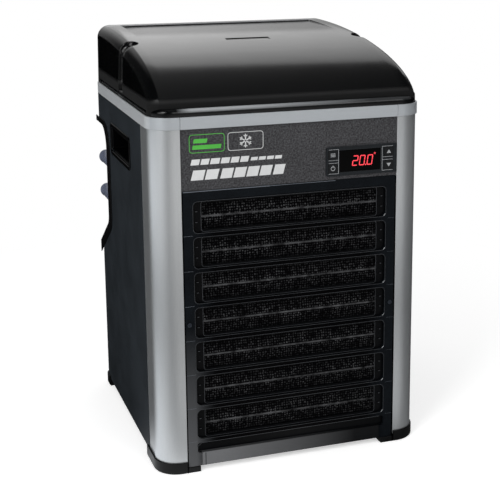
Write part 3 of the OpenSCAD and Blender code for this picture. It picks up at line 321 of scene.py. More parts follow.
# Pillars and top rail
# Aluminium extrusions, drawn, cut and satin anodised: pale, with faint die lines
# along their length. The rail's four lengths meet in tight butt joints.
def satin_aluminium(name, dark, light, rough, line, along, metal=0.8, painted_light=None):
    """Anodised extrusion: die lines a few tenths wide, stretched along the profile"""
    material, tree, place = blank(name)
    stretch = add(tree, "ShaderNodeMapping", {
        "Vector": place, "Scale": [0.02 if axis in along else 1.0 for axis in "XYZ"]})
    lines = add(tree, "ShaderNodeTexNoise", {
        "Vector": stretch.outputs[0], "Scale": 1 / line, "Detail": 4.0, "Roughness": 0.7})
    grit = add(tree, "ShaderNodeTexNoise", {"Vector": place, "Scale": 1 / 0.0009, "Detail": 2.0})
    both = add(tree, "ShaderNodeMix", {
        "Factor": 0.5, "A": lines.outputs["Fac"], "B": grit.outputs["Fac"]})
    tone = add(tree, "ShaderNodeMix", {"Factor": both.outputs[0], "A": colour(dark),
                                       "B": colour(light)}, data_type="RGBA").outputs["Result"]
    # An optional paler tone laid on where its fades say so: painted light
    if painted_light:
        tone = paler(tree, tone, place, *painted_light)
    gloss = add(tree, "ShaderNodeMapRange", {
        "Value": lines.outputs["Fac"], "To Min": rough - 0.04, "To Max": rough + 0.04})
    bump = add(tree, "ShaderNodeBump", {
        "Height": both.outputs[0], "Strength": 0.35, "Distance": 0.0001})
    skin = add(tree, "ShaderNodeBsdfPrincipled", {
        "Base Color": tone, "Roughness": gloss.outputs[0], "Metallic": metal,
        "Normal": bump.outputs[0]})
    add(tree, "ShaderNodeOutputMaterial", {"Surface": skin.outputs[0]})
    return material


# The rail's left face is paler, as a face that catches the lamp beside it.
rail_left_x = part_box("rail_left")[0].x
pillar_metal = satin_aluminium("satin_anodised_aluminium", "#bfc3c6", "#dcdfe1", 0.3, 0.0006, "Z")
rail_metal = satin_aluminium(
    "rail_anodised_aluminium", "#abb0b5", "#c2c7cb", 0.4, 0.0007, "XY", metal=0.5,
    painted_light=("#dfe3e6", [("X", rail_left_x + 0.0004, rail_left_x + 0.005, 1.0, 0.0)]))
for side in ("left", "right"):
    dress("pillar_" + side, pillar_metal, 0.0004)
for part in ("front", "left", "right", "rear"):
    dress("rail_" + part, rail_metal, 0.0004)


# Side panels, hand-holds and rear cover
# Folded steel sheet with a dark grey textured powder coat, which has a fine
# leathery pimple, and soft black pockets moulded in ABS glued behind the holes.
def place_new(name, bm, material, body="case", smooth=True):
    """Turns a finished bmesh into a piece that rides on a body"""
    mesh = bpy.data.meshes.new(name)
    bm.to_mesh(mesh)
    bm.free()
    for face in mesh.polygons:
        face.use_smooth = smooth
    piece = bpy.data.objects.new(name, mesh)
    scene.collection.objects.link(piece)
    mesh.materials.append(material)
    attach(piece, body)
    return piece


side_paint = grained("textured_powder_coat", "#1d2226", "#2f353b", 0.55, 0.0011, 0.00015,
                     shine=0.22)
pocket_plastic = grained("moulded_abs_black", "#060607", "#0e0f10", 0.36, 0.0014, 0.00006,
                         shine=0.22)
cup_plastic = grained("gloss_cup_abs", "#010102", "#040405", 0.3, 0.0016, 0.00003, shine=0.12)
zinc = grained("zinc_plated_steel", "#8a8d90", "#b3b6b8", 0.38, 0.0009, 0.00005, metal=1.0)
for side in ("left", "right"):
    dress("side_panel_" + side, side_paint, 0.0004)
    dress("hand_hold_" + side, cup_plastic, 0.0012)

# Each cup has a rounded rim that laps over the panel round its hole.
rim_lap, rim_corner, rim_wide, rim_proud, rim_edge = 0.001, 0.009, 0.0058, 0.0018, 0.0013
for side, out in (("left", -1), ("right", 1)):
    low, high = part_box("hand_hold_" + side)
    face_x = out * (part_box("side_panel_right")[1].x - 0.0001)
    y0, y1 = low.y - rim_lap, high.y + rim_lap
    z0, z1 = low.z - rim_lap, high.z + rim_lap
    bm = bmesh.new()
    corners = [bm.verts.new((face_x, y, z)) for y, z in ((y0, z0), (y1, z0), (y1, z1), (y0, z1))]
    bm.faces.new(corners)
    bmesh.ops.bevel(bm, geom=corners, offset=rim_corner, offset_type="OFFSET", segments=8,
                    profile=0.5, affect="VERTICES", material=-1)
    sheet = next(iter(bm.faces))
    bmesh.ops.inset_region(bm, faces=[sheet], thickness=rim_wide, depth=0, use_boundary=True)
    bmesh.ops.delete(bm, geom=[sheet], context="FACES_ONLY")
    band = bmesh.ops.extrude_face_region(bm, geom=list(bm.faces))["geom"]
    raised = [item for item in band if isinstance(item, bmesh.types.BMVert)]
    bmesh.ops.translate(bm, verts=raised, vec=(out * rim_proud, 0, 0))
    tops = set(raised)
    rims = [rim for rim in bm.edges if set(rim.verts) <= tops
            and rim.is_manifold and rim.calc_face_angle(0) > 0.5]
    bmesh.ops.bevel(bm, geom=rims, offset=rim_edge, offset_type="OFFSET", segments=4,
                    profile=0.5, affect="EDGES", material=-1)
    bmesh.ops.recalc_face_normals(bm, faces=bm.faces)
    place_new("hand_hold_rim_" + side, bm, cup_plastic)
dress("rear_cover", side_paint, 0.0003)
dress("rear_cover_screws", zinc, 0.0003)
dress("top_plate", side_paint, 0.0003)

# Hood
# One injection moulding in high-gloss black ABS: a crest that falls in a quarter
# ellipse to the front lip, a blank recess (the mark) and a sunk tray on top, and a
# finger scoop on each side.
hood_low, hood_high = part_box("hood")
hood_x, hood_top = hood_high.x, hood_high.z
hood_front, hood_back = hood_low.y, hood_high.y
hood_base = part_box("rail_left")[1].z
edge_round, back_round, front_round = 0.018, 0.008, 0.0147
lip_high, lip_deep, lip_round, lip_corner = 0.0095, 0.010, 0.005, 0.029
crest_y = hood_back - 0.020
nose_y, nose_z = hood_front + lip_deep, hood_base + lip_high
crest_long, crest_tall = crest_y - nose_y, hood_top - nose_z
lean = math.tan(math.radians(2))
scoop_back = hood_back - 0.167
scoop_long, scoop_deep, scoop_tip = 0.028, 0.005, 0.026
tray_x, tray_start, tray_deep = hood_x - 0.035, hood_back - 0.162, 0.0026
mark_x, mark_front, mark_deep = 0.031, scoop_back - 0.018, 0.0012
mark_back = mark_front + 0.012
wall_round = [(-0.0012, 0.0), (-0.0006, 0.04), (-0.0002, 0.14), (0.0, 0.3), (0.0003, 1.0)]
wall_steps = [distance for distance, share in wall_round]
side_steps, edge_steps = 8, 12


def sunk(distance):
    """Share of the full depth at this distance inside a rounded sunk edge"""
    for (d0, s0), (d1, s1) in zip(wall_round, wall_round[1:]):
        if d0 <= distance < d1:
            return s0 + (s1 - s0) * (distance - d0) / (d1 - d0)
    return 0.0 if distance < 0 else 1.0


def crest_height(y):
    """Height of the ellipse that the hood's top follows"""
    return nose_z + crest_tall * math.sqrt(max(0, 1 - ((crest_y - y) / crest_long) ** 2))


def tray_height(y):
    """Floor of the sunk tray: leaves the crest along its slope and ends level at the back"""
    long = crest_y - tray_start
    t = (y - tray_start) / long
    start, end = crest_height(tray_start), hood_top - tray_deep
    slope = (crest_height(tray_start + 0.001) - start) / 0.001
    return ((2 * t ** 3 - 3 * t ** 2 + 1) * start + (t ** 3 - 2 * t ** 2 + t) * long * slope
            + (3 * t ** 2 - 2 * t ** 3) * end)


# The ribs stand close where an edge is rounded: at the scoop, the mark and the tray.
ribs = [("front", hood_base), ("front", hood_base + lip_high / 2)]
for t in (0, 1.5, 3, 4.5, 6, 8, 10, 12, 14, 17, 20, 23, 26, 30, 34, 38, 42, 46):
    ribs.append(("crest", crest_y - crest_long * math.cos(math.radians(t))))
steps = [-0.064, -0.052, -0.042, -0.032, -0.024, scoop_back - scoop_long, -0.0145, -0.0115]
steps += [mark_front + d for d in wall_steps] + [-0.0035, 0.0]
steps += [mark_back - d for d in reversed(wall_steps)] + [0.0068, 0.0084]
steps += [scoop_back - d for d in reversed(wall_steps)] + [0.0135, tray_start]
steps += [0.022, 0.03, 0.04, 0.052, 0.066, 0.08, 0.095, 0.11, 0.125, 0.14, 0.15]
steps += [crest_y - d for d in reversed(wall_steps)] + [0.163]
ribs += [("crest", y) for y in sorted(set(steps))]
ribs += [("back", a) for a in range(0, 91, 10)] + [("wall", 0.5), ("wall", 1.0)]
inner_stops = [tray_x - d for d in wall_steps] + [0.13, 0.105, 0.08, 0.055]
inner_stops += [mark_x - d for d in wall_steps] + [0.015, 0.0]


def back_rib(kind, value):
    """A rib of the rounded rear edge, or of the wall under it, for the hood's right half"""
    turn = math.radians(value if kind == "back" else 90)
    radius = edge_round - back_round + back_round * math.cos(turn)
    y = hood_back - back_round + back_round * math.sin(turn)
    centre_x, centre_z = hood_x - (hood_top - hood_base) * lean - edge_round, hood_top - edge_round
    foot = Vector((hood_x - edge_round + edge_round * math.cos(turn),
                   hood_back - edge_round + edge_round * math.sin(turn), hood_base))
    side = Vector((centre_x + radius, y, centre_z))
    points = [foot.lerp(side, k / side_steps) for k in range(side_steps)]
    for k in range(edge_steps + 1):
        a = math.radians(90 * (1 - k / edge_steps))
        points.append(Vector((centre_x + radius * math.sin(a), y,
                              centre_z + radius * math.cos(a))))
    top_z = points[-1].z
    points += [Vector((x, y, top_z)) for x in [centre_x - 0.004, centre_x - 0.008] + inner_stops]
    if kind == "wall":
        inmost = hood_x - edge_round
        points = [Vector((min(p.x, max(inmost, p.x + (inmost - p.x) * value)),
                          p.y, p.z + (hood_base - p.z) * value)) for p in points]
    return points


def top_rib(kind, value):
    """A rib of the right half from the foot of the side to the middle of the top"""
    if kind == "front":
        crest, normal, radius = Vector((0, nose_y, value)), Vector((0, -1, 0)), front_round
    else:
        share = min(1, (crest_y - value) / crest_long) if value < crest_y else 0
        crest = Vector((0, value, crest_height(value) if value < crest_y else hood_top))
        tall = math.sqrt(max(0, 1 - share ** 2))
        normal = Vector((0, -share / crest_long, tall / crest_tall)).normalized()
        bend = ((crest_long * tall) ** 2 + (crest_tall * share) ** 2) ** 1.5 \
            / (crest_long * crest_tall)
        radius = min(edge_round, 0.95 * bend)
    centre = crest - radius * normal
    centre.x = hood_x - (crest.z - hood_base) * lean - radius
    off = crest.y - (scoop_back - scoop_long / 2)
    reach = math.sqrt(max(0, (scoop_long / 2) ** 2 - off ** 2))
    slack = centre.x - (hood_x - scoop_tip + scoop_long / 2 - reach)
    edge_q = -slack if slack > 0 else radius * math.asin(min(1, -slack / radius))
    if kind == "front" or abs(off) > scoop_long / 2:
        past = (scoop_long / 2 - scoop_tip + edge_round) / edge_round
        edge_q = radius * math.asin(min(1, max(0, past)))
    into = min(1, max(0, (crest.y - scoop_back + scoop_long) / scoop_long))
    deep = scoop_deep * into * sunk(scoop_back - crest.y) if kind == "crest" else 0
    across = Vector((1, 0, 0))
    foot = Vector((hood_x, min(centre.y, hood_back - edge_round), hood_base))
    side = centre + radius * across
    points = [foot.lerp(side, k / side_steps) - across * deep for k in range(side_steps)]
    quarter = radius * math.pi / 2
    qs = [quarter + (edge_q + 0.0006 - quarter) * k / side_steps for k in range(side_steps)]
    qs += [edge_q + d for d in reversed(wall_steps)]
    for q in qs:
        bite = deep * sunk(q - edge_q)
        if q > 0:
            a = q / radius
            points.append(centre + (radius - bite) * (math.cos(a) * normal + math.sin(a) * across))
        else:
            points.append(centre + (radius - bite) * normal + across * q)
    last_x = points[-1].x
    stops = [last_x + (tray_x + 0.002 - last_x) * k / 3 for k in (1, 2)] + inner_stops
    for x in stops:
        z = crest.z
        if crest.y > tray_start:
            drop = max(0, z - tray_height(min(crest.y, crest_y)))
            z -= drop * sunk(tray_x - x) * sunk(crest_y - crest.y)
        z -= mark_deep * sunk(mark_x - x) * sunk(crest.y - mark_front) * sunk(mark_back - crest.y)
        points.append(Vector((x, crest.y, z)))
    return points


rows = [(back_rib if kind in ("back", "wall") else top_rib)(kind, value) for kind, value in ribs]
across_count = len(rows[0])
bm = bmesh.new()
bmesh.ops.create_grid(bm, x_segments=2 * across_count - 2, y_segments=len(rows) - 1, size=1)
bm.verts.ensure_lookup_table()
for number, vert in enumerate(bm.verts):
    row, column = divmod(number, 2 * across_count - 1)
    right_half = column >= across_count
    point = rows[row][2 * across_count - 2 - column if right_half else column]
    vert.co = Vector((point.x if right_half else -point.x, point.y, point.z))
bmesh.ops.remove_doubles(bm, verts=bm.verts, dist=0.00003)
bmesh.ops.recalc_face_normals(bm, faces=bm.faces)

# Polished ABS shows long soft waves. Its nose above the lip is matt, so that it stays
# dark there, and the rim behind the tray is painted pale: a painted highlight of an
# edge against the light.
gloss_abs, tree, place = blank("gloss_black_abs")
waves = add(tree, "ShaderNodeTexNoise", {"Vector": place, "Scale": 1 / 0.035, "Detail": 1.0})
dust = add(tree, "ShaderNodeTexNoise", {"Vector": place, "Scale": 1 / 0.0012, "Detail": 2.0})
tone = add(tree, "ShaderNodeMix", {"Factor": dust.outputs["Fac"], "A": colour("#030304"),
                                   "B": colour("#08090a")}, data_type="RGBA").outputs["Result"]
tone = paler(tree, tone, place, "#8f9092", [
    ("Z", hood_top - 0.0018, hood_top - 0.001, 0.0, 0.9),
    ("Y", crest_y - 0.008, crest_y - 0.006, 0.0, 1.0)])
smear = add(tree, "ShaderNodeMapRange", {
    "Value": waves.outputs["Fac"], "To Min": 0.13, "To Max": 0.19})
swell = add(tree, "ShaderNodeBump", {
    "Height": waves.outputs["Fac"], "Strength": 0.12, "Distance": 0.0006})
nose = fades(tree, place, [("Z", 0.489, 0.498, 1.0, 0.0)])
smear = add(tree, "ShaderNodeMath", {0: smear.outputs[0], 1: nose}, operation="MAXIMUM")
skin = add(tree, "ShaderNodeBsdfPrincipled", {
    "Base Color": tone, "Roughness": smear.outputs[0], "IOR": 1.54,
    "Normal": swell.outputs[0]})
add(tree, "ShaderNodeOutputMaterial", {"Surface": skin.outputs[0]})
hood_shell = place_new("hood_shell", bm, gloss_abs, "hood")
thick = hood_shell.modifiers.new("wall", "SOLIDIFY")
thick.thickness = 0.003
thick.offset = -1
even = hood_shell.modifiers.new("even_shading", "WEIGHTED_NORMAL")
even.keep_sharp = True
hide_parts("hood")


def outline(bm, half_x, y0, y1, radius, z):
    """A rounded rectangle of edges at one height: a plane with its corners bevelled"""
    made = bmesh.ops.create_grid(bm, x_segments=1, y_segments=1, size=1)["verts"]
    for vert in made:
        vert.co = Vector((half_x * vert.co.x, y0 + (y1 - y0) * (vert.co.y + 1) / 2, z))
    cut = bmesh.ops.bevel(bm, geom=made, offset=radius, offset_type="OFFSET", segments=14,
                          profile=0.5, affect="VERTICES", material=-1)
    sheet = list({face for vert in cut["verts"] for face in vert.link_faces})
    rim = list(sheet[0].edges)
    bmesh.ops.delete(bm, geom=sheet, context="FACES_ONLY")
    return rim


# The lip stands out all round the foot of the hood. The band along its rounding is
# pale, as the lamp's long reflection in the polished edge.
lip_wall, lip_inside = 0.003, 0.014
bm = bmesh.new()
rings = [(0, hood_low.z)]
rings += [(lip_round * (1 - math.cos(math.radians(a))),
           nose_z - lip_round * (1 - math.sin(math.radians(a)))) for a in range(0, 91, 10)]
rings += [(lip_inside, nose_z), (lip_inside, nose_z - lip_wall),
          (lip_wall, nose_z - lip_wall - lip_round), (lip_wall, hood_low.z)]
loops = [outline(bm, hood_x - 0.0001 - inset, hood_front + inset, hood_back - inset,
                 lip_corner - min(inset, lip_round), z) for inset, z in rings]
for first, second in zip(loops, loops[1:] + loops[:1]):
    bmesh.ops.bridge_loops(bm, edges=first + second)
bmesh.ops.remove_doubles(bm, verts=bm.verts, dist=0.00001)
bmesh.ops.recalc_face_normals(bm, faces=bm.faces)
lip_abs, tree, place = blank("polished_lip_abs")
wavy = add(tree, "ShaderNodeTexNoise", {"Vector": place, "Scale": 1 / 0.05, "Detail": 2.0})
tone = paler(tree, colour("#050607"), place, "#9fa2a5", [
    ("Z", nose_z - lip_round, nose_z - lip_round + 0.0034, 0.0, 1.0),
    ("Y", hood_front + 0.004, hood_front + 0.0065, 1.0, 0.0),
    ("X", -0.15, -0.132, 0.0, 1.0), ("X", -0.07, 0.11, 1.0, 0.1)])
smear = add(tree, "ShaderNodeMapRange", {
    "Value": wavy.outputs["Fac"], "To Min": 0.14, "To Max": 0.2})
skin = add(tree, "ShaderNodeBsdfPrincipled", {
    "Base Color": tone, "Roughness": smear.outputs[0], "Specular IOR Level": 0.3})
add(tree, "ShaderNodeOutputMaterial", {"Surface": skin.outputs[0]})
hood_lip = place_new("hood_lip", bm, lip_abs, "hood")
hood_lip.modifiers.new("even_shading", "WEIGHTED_NORMAL")

# Front panel
# Aluminium sheet under a charcoal film with a metallic fleck, printed in white
# and green; the marks are plain shapes, two hundredths of a millimetre proud.
panel_film = grained("flecked_charcoal_film", "#0b0b0d", "#525255", 0.42, 0.0021, 0.0001,
                     shine=0.25, cloud=0.08)
dress("front_panel", panel_film, 0.0003)
panel_low, panel_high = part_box("front_panel")


def rounded(x0, z0, x1, z1, radius, steps=5):
    """Corners of a rounded rectangle, as a loop of (x, z)"""
    loop = []
    for number, (x, z) in enumerate(((x1 - radius, z1 - radius), (x0 + radius, z1 - radius),
                                     (x0 + radius, z0 + radius), (x1 - radius, z0 + radius))):
        for k in range(steps + 1):
            a = math.radians(90 * (number + k / steps))
            loop.append((x + radius * math.cos(a), z + radius * math.sin(a)))
    return loop


def ring(outer, inner):
    """Quads between two loops of the same count"""
    count = len(outer)
    return [[outer[k], outer[(k + 1) % count], inner[(k + 1) % count], inner[k]]
            for k in range(count)]


def frame_line(x0, z0, x1, z1, radius, wide):
    """A rounded frame drawn with a line of one width"""
    return ring(rounded(x0, z0, x1, z1, radius),
                rounded(x0 + wide, z0 + wide, x1 - wide, z1 - wide, radius - wide))


def stroke(x0, z0, x1, z1, wide):
    """A straight line with pointed ends"""
    along = Vector((x1 - x0, z1 - z0)).normalized() * wide / 2
    side = Vector((-along.y, along.x))
    a, b = Vector((x0, z0)), Vector((x1, z1))
    return [tuple(q) for q in (a - along * 0.2, a + along - side, b - along - side,
                               b + along * 0.2, b - along + side, a + along + side)]


def bars(spans, low, high, lean=0.28):
    """A row of bars that lean right; a span gives both ends from the panel's left edge"""
    slip, left = lean * (high - low), panel_low.x
    return [[(left + start, low), (left + end, low), (left + end + slip, high),
             (left + start + slip, high)] for start, end in spans]


def disc(x, z, radius, steps=16):
    """A circle as a loop of (x, z)"""
    turns = [2 * math.pi * k / steps for k in range(steps)]
    return [(x + radius * math.cos(a), z + radius * math.sin(a)) for a in turns]


def print_on(name, shapes, face_y, material, body="case"):
    """Flat shapes in a front plane, raised by one thin layer"""
    bm = bmesh.new()
    for loop in shapes:
        made = bmesh.ops.create_circle(bm, cap_ends=True, segments=len(loop), radius=1)["verts"]
        for vert, (x, z) in zip(made, loop):
            vert.co = Vector((x, face_y, z))
    bmesh.ops.remove_doubles(bm, verts=bm.verts, dist=0.000001)
    raised = bmesh.ops.extrude_face_region(bm, geom=list(bm.faces))["geom"]
    tops = [vert for vert in raised if isinstance(vert, bmesh.types.BMVert)]
    bmesh.ops.translate(bm, verts=tops, vec=Vector((0, -0.00002, 0)))
    bmesh.ops.recalc_face_normals(bm, faces=bm.faces)
    place_new(name, bm, material, body, smooth=False)


white_ink = grained("white_screen_ink", "#c2c3c4", "#dcdddd", 0.5, 0.0009, 0.00002, shine=0.2)
green_ink = grained("green_screen_ink", "#3f9b38", "#5cbb4e", 0.5, 0.0009, 0.00002, shine=0.2)

# Two framed tags: bars in a green one, a snowflake in a white one
tag_low, tag_high = panel_high.z - 0.0307, panel_high.z - 0.0072
green_tag = frame_line(panel_low.x + 0.0112, tag_low, panel_low.x + 0.0572, tag_high,
                       0.004, 0.0008)
green_tag += bars([(0.015, 0.052)], tag_low + 0.0045, tag_low + 0.0098, 0.2)
green_tag += bars([(0.0165, 0.034)], tag_low + 0.0125, tag_low + 0.0178, 0.2)
print_on("green_tag", green_tag, panel_low.y, green_ink)
marks = frame_line(panel_low.x + 0.0612, tag_low, panel_low.x + 0.1082, tag_high, 0.004, 0.0007)
flake_x, flake_z = panel_low.x + 0.0846, (tag_low + tag_high) / 2
arm_start, arm_fork, arm_end, barb = 0.0009, 0.005, 0.0088, 0.0034
for arm in range(6):
    a = math.radians(60 * arm + 30)
    start, fork, end = [(flake_x + d * math.cos(a), flake_z + d * math.sin(a))
                        for d in (arm_start, arm_fork, arm_end)]
    marks.append(stroke(*start, *end, 0.0015))
    for turn in (a - 0.8, a + 0.8):
        marks.append(stroke(*fork, fork[0] + barb * math.cos(turn),
                            fork[1] + barb * math.sin(turn), 0.0012))

# Two rows of slanted bars; the upper row ends in four flatter ones
row_high, row_low = panel_high.z - 0.0408, panel_high.z - 0.0654
marks += bars([(0.0124, 0.0232), (0.0252, 0.0356), (0.0376, 0.0494), (0.0514, 0.0624),
               (0.0644, 0.0748), (0.0768, 0.0874)], row_high - 0.0052, row_high + 0.0021)
marks += bars([(0.0908 + 0.0108 * k, 0.0998 + 0.0108 * k) for k in range(4)],
              row_high - 0.0042, row_high + 0.0001)
marks += bars([(0.0124, 0.0284), (0.0306, 0.0466), (0.0506, 0.0656), (0.0678, 0.0828),
               (0.085, 0.1), (0.1022, 0.1172), (0.1204, 0.1344)], row_low, row_low + 0.0128)
print_on("white_marks", marks, panel_low.y, white_ink)

# Controller
# A black ABS case behind a flush bezel, with a smoked window over a red
# seven-segment display, and four soft keys that give by half a millimetre.
bezel = grained("controller_abs", "#14171a", "#1f2327", 0.35, 0.001, 0.00004, shine=0.2)
dress("controller", bezel, 0.0003)
key_rubber = grained("key_silicone", "#101214", "#1a1c1e", 0.5, 0.0009, 0.00005, shine=0.2)
key_ink = grained("grey_key_ink", "#8d8f91", "#a8aaac", 0.5, 0.0009, 0.00002, shine=0.2)
for key in ("set", "power", "up", "down"):
    dress("key_" + key, key_rubber, 0.0003)
    low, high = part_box("key_" + key)
    x, z = (low.x + high.x) / 2, (low.z + high.z) / 2
    if key == "set":
        icon = [stroke(x - 0.0034, z + d, x + 0.0034, z + d, 0.0009) for d in (-0.0018, 0, 0.0018)]
    elif key == "power":
        icon = ring(disc(x, z, 0.0031), disc(x, z, 0.0023))
        icon.append(stroke(x, z + 0.0005, x, z + 0.0042, 0.0009))
    else:
        up = 1 if key == "up" else -1
        icon = [[(x - 0.0032 * up, z - 0.0022 * up), (x + 0.0032 * up, z - 0.0022 * up),
                 (x, z + 0.0026 * up)]]
    print_on("icon_" + key, icon, low.y, key_ink, "key_" + key)
smoked = grained("smoked_window", "#010101", "#020202", 0.14, 0.0008, 0.00001, shine=0.04)
dress("display_window", smoked, 0.0001)
glass_low, glass_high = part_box("display_window")

# A printed bracket on each side of the window holds its two keys
set_low, set_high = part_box("key_set")
power_low, power_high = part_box("key_power")
key_low, key_high = power_low.z - 0.0012, set_high.z + 0.0012
lines = []
for bar_x, far_x in ((glass_low.x - 0.0013, set_low.x + 0.0006),
                     (glass_high.x + 0.0026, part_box("key_up")[1].x - 0.0006)):
    lines.append(stroke(bar_x, key_low, bar_x, key_high, 0.0006))
    for z in (key_low, power_high.z + 0.001, set_low.z - 0.001, key_high):
        lines.append(stroke(min(bar_x, far_x), z, max(bar_x, far_x), z, 0.0005))
print_on("key_lines", lines, glass_low.y, key_ink)

# The lit segments show a temperature of 20.0 degrees
lit_red, tree, place = blank("lit_red_segment")
dots = add(tree, "ShaderNodeTexNoise", {"Vector": place, "Scale": 1 / 0.0012, "Detail": 1.0})
glowing = add(tree, "ShaderNodeMix", {"Factor": dots.outputs["Fac"], "A": colour("#de2c38"),
                                      "B": colour("#fb4a55")}, data_type="RGBA")
skin = add(tree, "ShaderNodeBsdfPrincipled", {
    "Base Color": glowing.outputs["Result"], "Roughness": 0.4,
    "Emission Color": glowing.outputs["Result"], "Emission Strength": 0.62})
add(tree, "ShaderNodeOutputMaterial", {"Surface": skin.outputs[0]})
segment_ends = {"a": (0, 2, 1, 2), "b": (1, 2, 1, 1), "c": (1, 1, 1, 0), "d": (0, 0, 1, 0),
                "e": (0, 1, 0, 0), "f": (0, 2, 0, 1), "g": (0, 1, 1, 1)}
digit_wide, digit_tall, digit_lean, digit_line = 0.0066, 0.0124, 0.14, 0.0013
digit_foot = glass_low.z + 0.0078
segments = []
for start, shown in ((0.0180, "abged"), (0.0278, "abcdef"), (0.0386, "abcdef")):
    for letter in shown:
        ends = segment_ends[letter]
        spots = [(glass_low.x + start + digit_wide * x + digit_lean * digit_tall * z / 2,
                  digit_foot + digit_tall * z / 2) for x, z in (ends[:2], ends[2:])]
        segments.append(stroke(*spots[0], *spots[1], digit_line))
segments.append(disc(glass_low.x + 0.0367, digit_foot, 0.0009, 10))
degree_x, degree_z = glass_low.x + 0.0496, glass_low.z + 0.0222
segments += ring(disc(degree_x, degree_z, 0.0013, 10), disc(degree_x, degree_z, 0.0007, 10))
print_on("digits", segments, glass_low.y, lit_red)

# Grille and filter
# A black ABS moulding with seven wide slots, held by two pins, over a frame with
# a net of black polyester that is folded along the middle of each slot.
grille_low, grille_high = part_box("grille")
frame_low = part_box("filter_frame")[0]
net_low, net_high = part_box("filter_mesh")
slots, slot_tall, slot_x, lip_top = 7, 0.042, 0.1323, 0.0255
slot_pitch = (net_high.z - net_low.z - slot_tall) / (slots - 1)

# The bars between the slots stay black, as no light reaches them, and the left
# stile is paler towards its foot, where it mirrors the paper.
grille_abs = grained("satin_black_abs", "#0a0c0f", "#13171b", 0.3, 0.0016, 0.00006, shine=0.04)
tree = grille_abs.node_tree
skin = tree.nodes["Principled BSDF"]
plain = skin.inputs["Base Color"].links[0].from_socket
place = tree.nodes["Texture Coordinate"].outputs["Object"]
spot = add(tree, "ShaderNodeSeparateXYZ", {"Vector": place})
beside = add(tree, "ShaderNodeMath", {0: spot.outputs["X"]}, operation="ABSOLUTE")
beside = add(tree, "ShaderNodeMapRange", {"Value": beside.outputs[0], "From Min": 0.104,
                                         "From Max": 0.134})
over = add(tree, "ShaderNodeMapRange", {"Value": spot.outputs["Z"], "From Min": 0.366,
                                       "From Max": 0.368})
border = add(tree, "ShaderNodeMath", {0: beside.outputs[0], 1: over.outputs[0]},
             operation="MAXIMUM")
low_left = fades(tree, place, [("Z", 0.01, 0.2, 1.0, 0.0), ("X", -0.145, 0.06, 1.0, 0.0)])
share = add(tree, "ShaderNodeMath", {0: low_left, 1: border.outputs[0]}, operation="MULTIPLY")
tone = add(tree, "ShaderNodeMix", {"Factor": share.outputs[0], "A": plain,
                                   "B": colour("#58595b")}, data_type="RGBA")
tone = add(tree, "ShaderNodeMix", {"Factor": border.outputs[0], "A": colour("#010102"),
                                   "B": tone.outputs["Result"]}, data_type="RGBA")
tree.links.new(tone.outputs["Result"], skin.inputs["Base Color"])
dress("grille", grille_abs, 0.0007)
pin_metal = grained("blued_steel_pin", "#2c3138", "#565d68", 0.3, 0.0009, 0.00005, metal=1.0)
dress("grille_pins", pin_metal, 0.0003)
# The filter frame's bottom lip is painted paler on the left: a painted reflection of the paper, as
# on the stile.
frame_abs = grained("filter_frame_abs", "#020304", "#06070a", 0.4, 0.0016, 0.00006, shine=0.1,
                    painted_light=("#6c6d6f", [("Z", lip_top, lip_top + 0.0015, 1.0, 0.0),
                                      ("X", -0.1, 0.09, 1.0, 0.03)]))
dress("filter_frame", frame_abs, 0.0004)

# A knitted net: pale loops on black, drawn 3.3 mm apart, two or three times the real
# spacing, or they would not show. The pale is a painted sheen on the black threads, patchy,
# with painted shade away from the fold and a painted highlight along it.
net, tree, place = blank("knitted_polyester_net")
flat = add(tree, "ShaderNodeMapping", {"Vector": place, "Scale": (1.0, 0.0, 1.0)}).outputs[0]
loops = add(tree, "ShaderNodeTexVoronoi", {
    "Vector": flat, "Scale": 1 / 0.0033, "Randomness": 0.35})
knots = add(tree, "ShaderNodeMapRange", {"Value": loops.outputs["Distance"], "From Min": 0.12,
                                         "From Max": 0.42, "To Min": 0.43, "To Max": 0.0})
dust = add(tree, "ShaderNodeTexNoise", {"Vector": place, "Scale": 1 / 0.012, "Detail": 4.0})
patchy = add(tree, "ShaderNodeMapRange", {
    "Value": dust.outputs["Fac"], "From Min": 0.3, "From Max": 0.7})
up = add(tree, "ShaderNodeSeparateXYZ", {"Vector": place}).outputs["Z"]
up = add(tree, "ShaderNodeMath", {0: up, 1: net_low.z + slot_tall / 2 - slot_pitch / 2},
         operation="SUBTRACT")
up = add(tree, "ShaderNodeMath", {0: up.outputs[0], 1: slot_pitch}, operation="DIVIDE")
up = add(tree, "ShaderNodeMath", {0: up.outputs[0]}, operation="FRACT")
apart = add(tree, "ShaderNodeMath", {0: up.outputs[0], 1: 0.5}, operation="SUBTRACT")
apart = add(tree, "ShaderNodeMath", {0: apart.outputs[0]}, operation="ABSOLUTE")
fold_highlight = add(tree, "ShaderNodeMapRange", {
    "Value": apart.outputs[0], "From Min": 0.012, "From Max": 0.035, "To Min": 0.42, "To Max": 0.0})
shade_off_fold = add(tree, "ShaderNodeMapRange", {
    "Value": apart.outputs[0], "From Min": 0.08, "From Max": 0.42, "To Min": 1.0, "To Max": 0.35})
knots = add(tree, "ShaderNodeMath", {0: knots.outputs[0], 1: shade_off_fold.outputs[0]},
            operation="MULTIPLY")
pale = add(tree, "ShaderNodeMath", {0: knots.outputs[0], 1: fold_highlight.outputs[0]},
           operation="MAXIMUM")
pale = add(tree, "ShaderNodeMath", {0: pale.outputs[0], 1: patchy.outputs[0]},
           operation="MULTIPLY")
thread = add(tree, "ShaderNodeMix", {"Factor": pale.outputs[0], "A": colour("#020203"),
                                     "B": colour("#7b7c7e")}, data_type="RGBA")
raised = add(tree, "ShaderNodeBump", {
    "Height": pale.outputs[0], "Strength": 0.6, "Distance": 0.0005})
skin = add(tree, "ShaderNodeBsdfPrincipled", {
    "Base Color": thread.outputs["Result"], "Roughness": 0.7, "Normal": raised.outputs[0],
    "Specular IOR Level": 0.03})
add(tree, "ShaderNodeOutputMaterial", {"Surface": skin.outputs[0]})
coat_node("filter_mesh", net)
